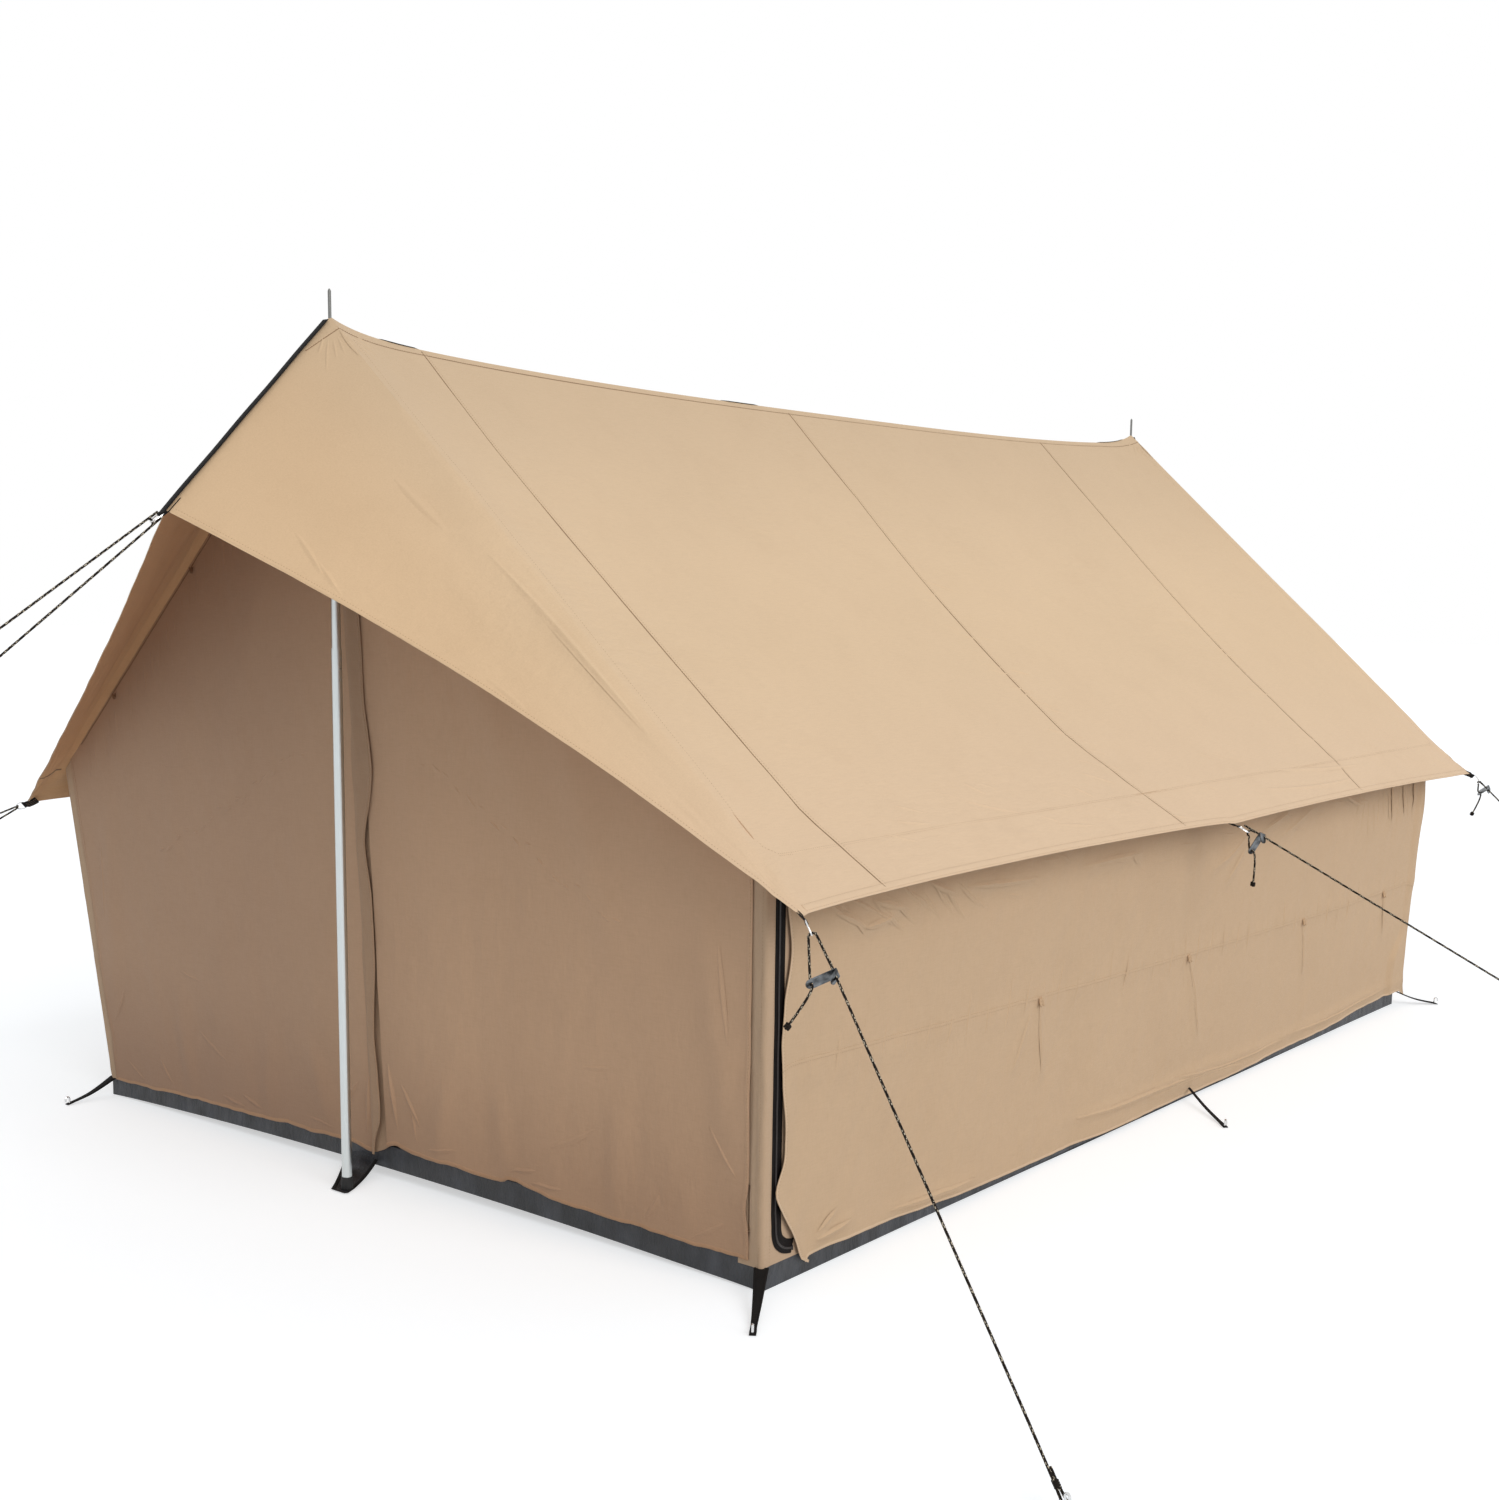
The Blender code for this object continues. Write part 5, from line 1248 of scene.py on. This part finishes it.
def build_side_wall(side):
    work = Work()
    outward = Vector((side, 0.0, 0.0))
    grid = grid_of(lambda along, up: wall_point(side, along, up), 330, 72)
    work.add(cloth(grid, PANEL_T, outward))
    hem_on(work, lambda t: wall_point(side, t, HEM_UP), 230, outward, 0.008, look=2)
    for along, row in ((0.001, 0.3 * side), (0.999, -0.3 * side)):
        hem_on(work, lambda t: wall_point(side, along, t * 0.985), 64, outward, 0.007, row, look=2)

    def place(y, z):
        along = clamp((y + side_edge(z, FRONT)) / (side_edge(z, BACK) + side_edge(z, FRONT)))
        hem = along_table(SIDE_HEM, WALL_START + WALL_LENGTH * along)
        return wall_point(side, along, clamp((z - hem) / (WALL_TOP_Z - hem)), 0.0002), outward

    for row in wall_folds():
        work.add(fold(place, *row))
    points, normals = line_on(lambda t: wall_point(side, t, tape_up(t)), 230, outward)
    work.add(ribbon(points, normals, 0.012, 0.0007, SUNK))
    for aside in (-0.0045, 0.0045):
        work.add(stitch_row([p + UP * aside for p in points], normals, 0.0007), 1)
    for y in (-0.92, 0.055, 1.018, 1.847):
        along = (y + 2.13) / 4.31
        base = wall_point(side, along, tape_up(along), 0.001)
        for turn in (-0.5, 0.35):
            work.add(tie_loop(base, Vector((0.0, turn, -1.0)).normalized(), Vector((0.0, 1.0, 0.0))), 0)
    name = f"{SIDE_NAME[side]}_wall"
    piece = work.piece(f"{name}_cloth", [wall_canvas, thread, hem_canvas], name, 50.0, [name], "wall_canvas")


for side in (LEFT, RIGHT):
    build_side_wall(side)


def build_corner(side, end):
    """Canvas angle between a door and a side wall, with its rounded edge and two stitched turnings."""
    work = Work()
    rows = 64
    backs = (0.075, 0.062, 0.0475, 0.047, 0.039, 0.0385, 0.034, 0.03, 0.025, 0.02, 0.015, 0.01, 0.005)
    door_row = 11               # columns of the grid that carry a row of stitches
    wall_row = 17
    grid = []
    seed = side * 2.0 + end
    for i in range(rows + 1):
        up = i / rows
        corner_z = HEM_Z + (WALL_TOP_Z - 0.0012 - HEM_Z) * up
        cx = strip_x(HEM_Z + (WALL_TOP_Z - HEM_Z) * up)
        cy = strip_y(cx, corner_z)
        row = []
        for back in backs:
            x = cx - back
            z = HEM_Z + (gable_seam(x)[1] - 0.0012 - HEM_Z) * up
            shown = smooth(0.075 - back, 0.034, 0.05) * smooth(1.0 - up, 0.0, 0.05)
            puff = 0.003 * shown * (0.6 + ripple(z * 5.0, back * 110.0, seed))
            puff += 0.0016 * shown * ripple(z * 26.0 + back * 60.0, back * 60.0, seed + 1.0)
            # Short slit low in the front right strip
            if 0.0385 < back < 0.0475 and (side, end) == (RIGHT, FRONT):
                puff -= 0.035 * smooth(z, 0.145, 0.175) * fade(z, 0.25, 0.275)
            row.append(Vector((side * x, end * (strip_y(x, z) + puff), z)))
        row.append(Vector((side * (cx - 0.0012), end * (cy - 0.0012), corner_z)))
        wide = max(0.07, cy - side_edge(corner_z, end) + 0.016)
        for along in (0.005, 0.012, 0.02, 0.028, 0.033, 0.045, 0.06, wide):
            shown = fade(along, 0.022, 0.033) * smooth(1.0 - up, 0.0, 0.05)
            puff = 0.0024 * shown * (0.6 + ripple(corner_z * 9.0, along * 40.0, seed + 4.0))
            row.append(Vector((side * (cx + puff), end * (cy - along), corner_z)))
        grid.append(row)
    outward = Vector((side, end, 0.0))
    work.add(cloth(grid, STRIP_T, outward))
    for column, normal in ((door_row, Vector((0.0, end, 0.0))), (wall_row, Vector((side, 0.0, 0.0)))):
        line = [row[column] for row in grid]
        work.add(stitch_row(line, [normal] * len(line), 0.0003), 1)
    name = f"corner_strip_{tag_of(side, end)}"
    piece = work.piece(f"{name}_cloth", [corner_canvas, thread], "tent", 50.0, [name], "corner_canvas")


def zip_path(side, end):
    """Points of a corner zip, which turns away from the corner at its foot."""
    high_z = 1.074
    bend_z = 0.195
    low_z = 0.085
    foot = (
        (-0.004, 0.165), (0.0, 0.138), (0.01, 0.115), (0.03, 0.098), (0.05, 0.09), (0.07, 0.086),
    )

    def centre_y(z):
        return strip_y(strip_x(z), z) - 0.034 - 0.013

    points = []
    for k in range(90):
        z = high_z - (high_z - bend_z) * k / 89
        wave = 0.0016 * ripple(z * 8.0, side, end) * smooth(abs(z - 1.04), 0.0, 0.05)
        points.append(Vector((side * (strip_x(z) + 0.0005), end * (centre_y(z) + wave), z)))
    y_low = centre_y(low_z)
    for away, z in foot:
        points.append(Vector((side * (strip_x(z) + 0.0012 + away * 0.012), end * (y_low - away), z)))
    return resample(points, 0.004)


def build_zip(side, end):
    work = Work()
    tape_w = 0.038
    tape_t = 0.0008
    cord_r = 0.00045
    cord_lift = 0.0009
    coil_step = 0.00125
    coil_r = 0.00125
    coil_aside = 0.00145
    coil_lift = 0.0019
    stop_r = 0.0022
    points = zip_path(side, end)
    normal = Vector((side, 0.0, -0.07)).normalized()
    normals = [normal] * len(points)
    wall_way = 0.0045 * side * end
    work.add(ribbon(beside(points, normals, wall_way), normals, tape_w, tape_t))
    for aside in (-0.0125, -0.008, 0.008, 0.0125):
        line = beside(points, normals, aside)
        work.add(tube([p + normal * cord_lift for p in line], cord_r, 4))
    fine = resample(points, coil_step)
    sizes = [coil_r + 0.0003 * (k % 2) for k in range(len(fine))]
    for aside in (-coil_aside, coil_aside):
        line = beside(fine, [normal] * len(fine), aside)
        work.add(tube([p + normal * coil_lift for p in line], sizes, 6), 1)
    stop = points[-1] + normal * stop_r
    work.add(tube([stop - UP * 0.006, stop + UP * 0.006], stop_r, 8), 1)
    name = f"corner_zip_{tag_of(side, end)}"
    work.piece(f"{name}_tape", [zip_tape, zip_coil], "tent", 40.0, [name], "zip_tape")


for end in (FRONT, BACK):
    for side in (LEFT, RIGHT):
        build_corner(side, end)
        build_zip(side, end)


# Groundsheet

def build_groundsheet():
    work = Work()
    corners = [(BASE_X, -BASE_Y), (BASE_X, BASE_Y), (-BASE_X, BASE_Y), (-BASE_X, -BASE_Y)]
    edge = []
    for (x0, y0), (x1, y1) in zip(corners, corners[1:] + corners[:1]):
        steps = 70
        for k in range(steps):
            t = k / steps
            edge.append((x0 + (x1 - x0) * t, y0 + (y1 - y0) * t, math.sin(math.pi * t), x0 == x1))

    def point(k, height, inward=0.0):
        x, y, middle, side_edge_on = edge[k % len(edge)]
        along = y if side_edge_on else x
        rise = 0.03 * middle**0.8 if not side_edge_on and y < 0.0 else 0.006 * middle
        z = height * UPSTAND_Z + (1.0 - height) * rise
        crease = 0.0016 * ripple(along * 13.0, height * 3.0, x + y)
        crease *= math.sin(math.pi * clamp(height))
        crease *= middle**0.3
        step = inward + 0.0006 - crease
        if side_edge_on:
            return Vector((x - math.copysign(step, x), y * (1.0 - inward / BASE_Y), z))
        return Vector((x * (1.0 - inward / BASE_X), y - math.copysign(step, y), z))

    levels = [0.0, 0.2, 0.4, 0.6, 0.8, 1.0]
    outer = [[point(k, h) for h in levels] for k in range(len(edge) + 1)]
    inner = [[point(k, h, 0.0016) for h in levels] for k in range(len(edge) + 1)]
    work.add(shell(outer, inner))
    rim = [point(k, 0.97) for k in range(len(edge))]
    work.add(tube(rim, 0.0013, 6, closed=True))
    floor = []
    for i in range(61):
        row = []
        for j in range(41):
            x = (BASE_X - 0.001) * (2.0 * j / 40 - 1.0)
            y = (BASE_Y - 0.001) * (2.0 * i / 60 - 1.0)
            bumps = 0.0022 + 0.0018 * (0.5 + ripple(x * 2.3, y * 2.3, 5.0))
            swell = 0.03 * smooth(-y, 1.9, BASE_Y) * math.cos(math.pi * x / 2.0 / BASE_X)
            row.append(Vector((x, y, bumps + swell)))
        floor.append(row)
    work.add(cloth(floor, STRIP_T, UP))
    for (end, side), (x, y) in BASE_PEGS.items():
        root = Vector((side * (BASE_X - 0.004), end * (BASE_Y - 0.004), 0.06))
        peg_strap(work, root, Vector((x, y, 0.0)), 0.038, 0.014 if end == FRONT else 0.03)
    for side in (LEFT, RIGHT):
        root = Vector((side * (BASE_X + 0.001), MID_STRAP_Y, 0.04))
        peg_strap(work, root, Vector((side * MID_PEG[0], MID_PEG[1], 0.0)), 0.008, 0.013)
    for end in (FRONT, BACK):
        pole_gusset(work, end)
    looks = [sheet_vinyl, black_web]
    piece = work.piece("groundsheet_tray", looks, "tent", 40.0, ["groundsheet"], "groundsheet_vinyl")


def peg_strap(work, root, peg, width, tip_width):
    """Strap that gathers from the sheet's corner and tapers to its eye at the peg."""
    strap_t = 0.002
    edge_lift = 0.0024
    edge_r = 0.0009
    eye_r = 0.0045
    eye_lift = 0.0034
    run = Vector((peg.x - root.x, peg.y - root.y, 0.0)).normalized()
    tip = peg + run * 0.01
    middle = root.lerp(tip, 0.5)
    middle.z = root.z * 0.36
    points = resample([root, middle, Vector((tip.x, tip.y, 0.0012))], 0.005)
    count = len(points)
    widths = []
    normals = []
    for k in range(count):
        t = k / (count - 1)
        widths.append(tip_width + (width - tip_width) * (1.0 - t) ** 1.3 + 0.003 * smooth(t, 0.85, 0.95))
        normals.append((UP + run * 0.7 * (1.0 - t)).normalized())
    work.add(ribbon(points, normals, widths, strap_t), 1)
    for share in (-0.4, 0.4):
        edge = []
        for k, p in enumerate(points):
            across = tangent(points, k).cross(normals[k]).normalized()
            edge.append(p + across * widths[k] * share + normals[k] * edge_lift)
        work.add(tube(edge, edge_r, 6), 1)
    ring = []
    for t in [math.tau * s / 14 for s in range(14)]:
        ring.append(peg + Vector((math.cos(t), math.sin(t), 0.0)) * eye_r + UP * eye_lift)
    work.add(tube(ring, 0.001, 6, closed=True), 1)


def pole_gusset(work, end):
    """Triangle of coated cloth between the sheet and the pole's foot, with bound edges."""
    grid = []
    for i in range(17):
        t = i / 16
        row = []
        y = end * (BASE_Y - 0.002 + (GUSSET_TIP_Y - BASE_Y) * t)
        half = (GUSSET_W + (GUSSET_TIP_W - GUSSET_W) * t) / 2
        middle = end * GUSSET_SIDE * (1.0 - t)
        for j in range(13):
            across = 2.0 * j / 12 - 1.0
            lift = 0.06 * (1.0 - t) ** 2.2 * (1.0 - 0.3 * abs(across))
            row.append(Vector((middle + half * across, y, 0.003 + lift * smooth(1.0 - t, 0.0, 0.35))))
        grid.append(row)
    work.add(cloth(grid, STRIP_T, UP))
    for column in (0, 12):
        line = [row[column] for row in grid]
        work.add(ribbon(line, [UP] * len(line), 0.012, 0.0016), 1)
    line = grid[16]
    work.add(ribbon(line, [UP] * len(line), 0.01, 0.001), 1)


build_groundsheet()


# Straps, tabs, ropes and runners

def guy_axes(anchor, aim, side, roll):
    along = (aim - anchor).normalized()
    level = UP.cross(along).normalized()
    over = along.cross(level)
    span = (level * side * math.cos(roll) - over * math.sin(roll)).normalized()
    return along, span, along.cross(span)


def guy_tab(name, seat, axes):
    """Black tape sewn under the eave's corner and folded round the ring's bar."""
    along, span, across = axes
    tape_w = 0.02
    tape_t = 0.0012
    sleeve_r = 0.0033
    work = Work()
    uphill = (Vector((-along.x, -along.y, 0.0)).normalized() + UP * 0.42).normalized()
    centre = seat + along * SLEEVE_AT
    path = [seat + uphill * 0.045 - UP * 0.003, seat + uphill * 0.02 - UP * 0.0034, seat - UP * 0.002]
    path += arc(centre, along, span, sleeve_r, HALF_TURN)
    path += [seat - UP * 0.005, seat + uphill * 0.02 - UP * 0.0062, seat + uphill * 0.045 - UP * 0.0056]
    normals = [tangent(path, k).cross(across).normalized() for k in range(len(path))]
    if normals[0].z < 0.0:
        normals = [-n for n in normals]
    work.add(ribbon(path, normals, tape_w, tape_t))
    for aside in (-0.0055, 0.0, 0.0055):
        work.add(stitch_row([p + across * aside for p in path], normals, 0.0013, WEB_STITCH), 1)
    work.piece(f"{name}_tape", [black_web, thread], "tent", 40.0, slot="black_webbing")


def ridge_strap(end):
    """Tape down the fold of a beak, with its sleeve round the ring's bar; gives the sleeve's centre."""
    steps = 60
    tape_w = 0.024
    tape_t = 0.0014
    sleeve_r = 0.0034
    work = Work()
    peak = Vector((0.0, end * POLE_Y, PEAK_Z))
    tip = beak_tip(end)
    fall = (tip - peak).normalized()
    normal = Vector((0.0, end * -fall.z, abs(fall.y))).normalized()
    start = peak + fall * (0.012 / abs(fall.y))
    path = []
    normals = []
    for k in range(steps):
        t = k / (steps - 1)
        path.append(start.lerp(tip + fall * 0.01, t) + normal * (0.0024 + 0.001 * math.sin(t * 9.0) ** 2))
        normals.append(normal)
    centre = tip + fall * SLEEVE_AT + normal * 0.0013
    path += arc(centre, fall, normal, sleeve_r, HALF_TURN)
    normals += arc(Vector(), fall, normal, 1.0, HALF_TURN)
    path += [tip - normal * 0.0046, tip - fall * 0.05 - normal * 0.005]
    normals += [-normal, -normal]
    work.add(ribbon(path, normals, tape_w, tape_t))
    across = fall.cross(normal)
    for aside in (-0.009, 0.009):
        line = [p + across * aside for p in path[:steps - 2]]
        work.add(stitch_row(line, normals, tape_t, WEB_STITCH), 0)
    name = f"{END_NAME[end]}_ridge_strap"
    work.piece(f"{name}_tape", [black_web], "tent", 40.0, [name], "black_webbing")
    return centre


def ring_bar(anchor, axes):
    return anchor + axes[0] * (SLEEVE_AT + SLEEVE_BORE_R - RING_WIRE_R - RING_SEAT)


def rope_form(work, points):
    """Braided rope: its surface waves with the braid, and pale strands show in a slow spiral."""
    fine = resample(points, 0.0026)
    sides = 8
    sizes = [LINE_R * (1.0 + 0.05 * (-1) ** k) for k in range(len(fine))]
    looks = [0, 0]
    for k in range(len(fine) - 1):
        looks += [1 if (k + 3 * s) % 14 < 2 or (k - 2 * s) % 19 == 0 else 0 for s in range(sides)]
    work.add(tube(fine, sizes, sides), looks)
    return fine


def knot_form(work, centre, way, turns, size, length):
    """Overhand wraps of the rope's own end round itself."""
    side = way.orthogonal().normalized()
    over = way.cross(side)
    path = []
    count = int(turns * 12)
    for k in range(count + 1):
        t = k / count
        turn = math.tau * turns * t
        around = (side * math.cos(turn) + over * math.sin(turn)) * size * 0.55
        path.append(centre + way * length * (t - 0.5) + around)
    work.add(tube(path, LINE_R, 7))
    work.add(tube([centre - way * length * 0.6, centre + way * length * 0.6], KNOT_CORE_R, 8))


def build_rope(name, anchor, aim, loop, axes, free, lean):
    along, span = axes[:2]
    bow = ring_bar(anchor, axes) + along * RING_DEPTH
    centre = bow - along * (RING_WIRE_R + ROPE_R + ROPE_CLEAR - ROPE_TURN_R)
    line_hole = centre + along * loop - span * LINE_HOLE_SIDE
    tail_hole = line_hole + span * RUNNER_SPAN
    through = along * (RUNNER_T * 2)
    run = (aim - line_hole).normalized()
    far = line_hole + run * FREE_RUN if free else aim
    level = UP.cross(run).normalized()
    bend = arc(centre, -span, -along, ROPE_TURN_R, [math.pi * k / 12 for k in range(13)])
    start = far - run * 0.06
    main = bend[6::-1] + [line_hole - through * 2, line_hole + through * 2, line_hole.lerp(start, 0.5), start]
    for k in range(15):
        turn = -math.radians(128.0) * (1.0 - 2.0 * k / 14)
        main.append(far + run * EYE_R * math.cos(turn) + level * EYE_R * math.sin(turn))
    side = level * (ROPE_R * 2 + 0.0006)
    main += [start + run * 0.012 + side, start + side, start - run * 0.014 + side]
    work = Work()
    fine = rope_form(work, main)
    looks = [rope_black, rope_fleck]
    rope = work.piece(f"guy_line_{name}", looks, "tent", 60.0, [f"guy_rope_{name}"], "guy_rope")
    ties = Work()
    knot_form(ties, start + run * 0.02 + side * 0.5, run, 3.5, 0.0085, 0.016)
    eye = ties.piece(f"guy_eye_knot_{name}", [rope_black], "tent", 60.0, slot="guy_rope")
    path_length(fine)
    past = tail_hole + through
    droop = (along * lean[0] + span * lean[1] - UP).normalized()
    end_point = past + droop * TAIL_L
    turn_point = past + along * TAIL_BEND
    back = bend[6:] + [tail_hole - through * 2, past]
    for k in range(1, 9):
        t = k / 8
        first = past.lerp(turn_point, t)
        back.append(first.lerp(turn_point.lerp(end_point, t), t))
    work = Work()
    fine = rope_form(work, back)
    tail = work.piece(f"guy_return_{name}", looks, slot="guy_rope", angle=60.0)
    body = f"guy_runner_{name}"
    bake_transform(tail)
    ties = Work()
    way = (back[-1] - back[-2]).normalized()
    knot_form(ties, back[-1] - way * 0.008, way, 2.5, 0.01, 0.011)
    knot = ties.piece(f"guy_tail_knot_{name}", [rope_black], body, 60.0, slot="guy_rope")
    path_length(fine)


def build_guys():
    corner_aim = (2.52, 2.66, 0.02)
    middle_aim = (3.26, 0.56, 0.02)
    left_aim = (4.17, 2.97, 0.0)
    corner_roll = math.radians(35.0)
    middle_roll = math.radians(90.0)
    middle_lean = (0.25, 0.35)
    plan = [
        ("front_right", roof_corner(RIGHT, FRONT), corner_aim, (RIGHT, FRONT), 0.106, "peg"),
        ("back_right", roof_corner(RIGHT, BACK), corner_aim, (RIGHT, BACK), 0.031, "peg"),
        ("front_left", roof_corner(LEFT, FRONT), left_aim, (LEFT, FRONT), 0.106, "free"),
        ("back_left", roof_corner(LEFT, BACK), corner_aim, (LEFT, BACK), 0.0, None),
        ("middle_right", eave_point(RIGHT, 0.0), middle_aim, (RIGHT, 1.0), 0.031, "peg"),
        ("middle_left", eave_point(LEFT, 0.0), middle_aim, (LEFT, 1.0), 0.0, None),
    ]
    for name, anchor, (x, y, z), (sx, sy), loop, finish in plan:
        aim = Vector((sx * x, sy * y, z))
        seat = anchor - UP * (ROOF_T / 2)
        at_middle = anchor.y == 0.0
        axes = guy_axes(seat, aim, sx * sy, middle_roll if at_middle else corner_roll)
        guy_tab(f"guy_tab_{name}", seat, axes)
        if finish:
            lean = middle_lean if at_middle else (0.0, 0.87)
            build_rope(name, seat, aim, loop, axes, finish == "free", lean)
    sleeve = ridge_strap(FRONT)
    aim = Vector((0.0, -5.68, 0.0))
    anchor = sleeve - (aim - sleeve).normalized() * SLEEVE_AT
    axes = guy_axes(anchor, aim, 0.0, middle_roll)
    build_rope("front_beak", anchor, aim, 0.586, axes, True, middle_lean)
    ridge_strap(BACK)


build_guys()


# Solids that stay: their finishes

FINISHES = {
    "pole_lower_tube": aluminium, "pole_upper_tube": aluminium, "pole_foot": foot_rubber,
    "pole_spike_plug": spike_metal, "pole_snap_clip": spring_metal, "zip_slider": slider_metal,
    "base_peg": bright_steel, "guy_peg": bright_steel, "guy_ring": bright_steel, "guy_runner": runner_metal,
}
for node_name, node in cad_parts.items():
    for key, look in FINISHES.items():
        if key in node_name:
            node.data.materials.clear()
            node.data.materials.append(look)


# Floor, light and camera

def seen_by(tree, *rays):
    """1 for the named rays and 0 for all others."""
    path = add_node(tree, "ShaderNodeLightPath")
    seen = path.outputs[rays[0]]
    for ray in rays[1:]:
        seen = math_value(tree, "MAXIMUM", seen, path.outputs[ray])
    return seen


def build_stage():
    mesh = bpy.data.meshes.new("floor")
    reach = 60.0
    corners = [(x * reach, y * reach, -0.0005) for x, y in ((-1, -1), (1, -1), (1, 1), (-1, 1))]
    mesh.from_pydata(corners, [], [(0, 1, 2, 3)])
    floor = put("floor", mesh)
    mat, tree, shader = new_material("floor_look", (0.8, 0.82, 0.84), 0.9)
    glow = math_value(tree, "MULTIPLY", seen_by(tree, "Is Camera Ray", "Is Glossy Ray"), 0.53)
    feed(tree, shader, {"Emission Strength": glow, "Emission Color": (*WHITE, 1.0)})
    mesh.materials.append(mat)
    world = bpy.data.worlds.new("studio")
    bpy.context.scene.world = world
    world.use_nodes = True
    tree = world.node_tree
    seen = seen_by(tree, "Is Camera Ray", "Is Glossy Ray", "Is Transmission Ray")
    level = map_range(tree, seen, "To", 0.6, 1.0)
    feed(tree, tree.nodes["Background"], {"Color": (*WHITE, 1.0), "Strength": level})
    sun = bpy.data.lights.new("key", "SUN")
    sun.energy = 1.5
    sun.angle = math.radians(40.0)
    sun.color = (1.0, 0.985, 0.96)
    lamp = put("key", sun)
    lamp.rotation_mode = "QUATERNION"
    lamp.rotation_quaternion = Vector((0.8, -0.15, 0.5)).to_track_quat("Z", "Y")


def build_camera():
    place = (4.116, -5.622, 1.714)
    yaw = 0.6738
    pitch = 0.139
    roll = 0.0104
    frame_px = 1500.0
    focal_px = 1878.3
    shift_px = 100.0
    sensor_mm = 36.0
    forward = Vector((-math.sin(yaw) * math.cos(pitch), math.cos(yaw) * math.cos(pitch), -math.sin(pitch)))
    right = Vector((math.cos(yaw), math.sin(yaw), 0.0))
    over = right.cross(forward)
    x_axis = right * math.cos(roll) + over * math.sin(roll)
    y_axis = over * math.cos(roll) - right * math.sin(roll)
    data = bpy.data.cameras.new("camera")
    data.sensor_width = sensor_mm
    data.lens = focal_px / frame_px * sensor_mm
    data.shift_y = shift_px / frame_px
    data.clip_end = 200.0
    camera = put("camera", data)
    turn = Matrix((x_axis, y_axis, -forward)).transposed().to_4x4()
    camera.matrix_world = Matrix.Translation(place) @ turn
    bpy.context.scene.camera = camera


build_stage()
build_camera()
bpy.context.scene.view_settings.view_transform = "Standard"
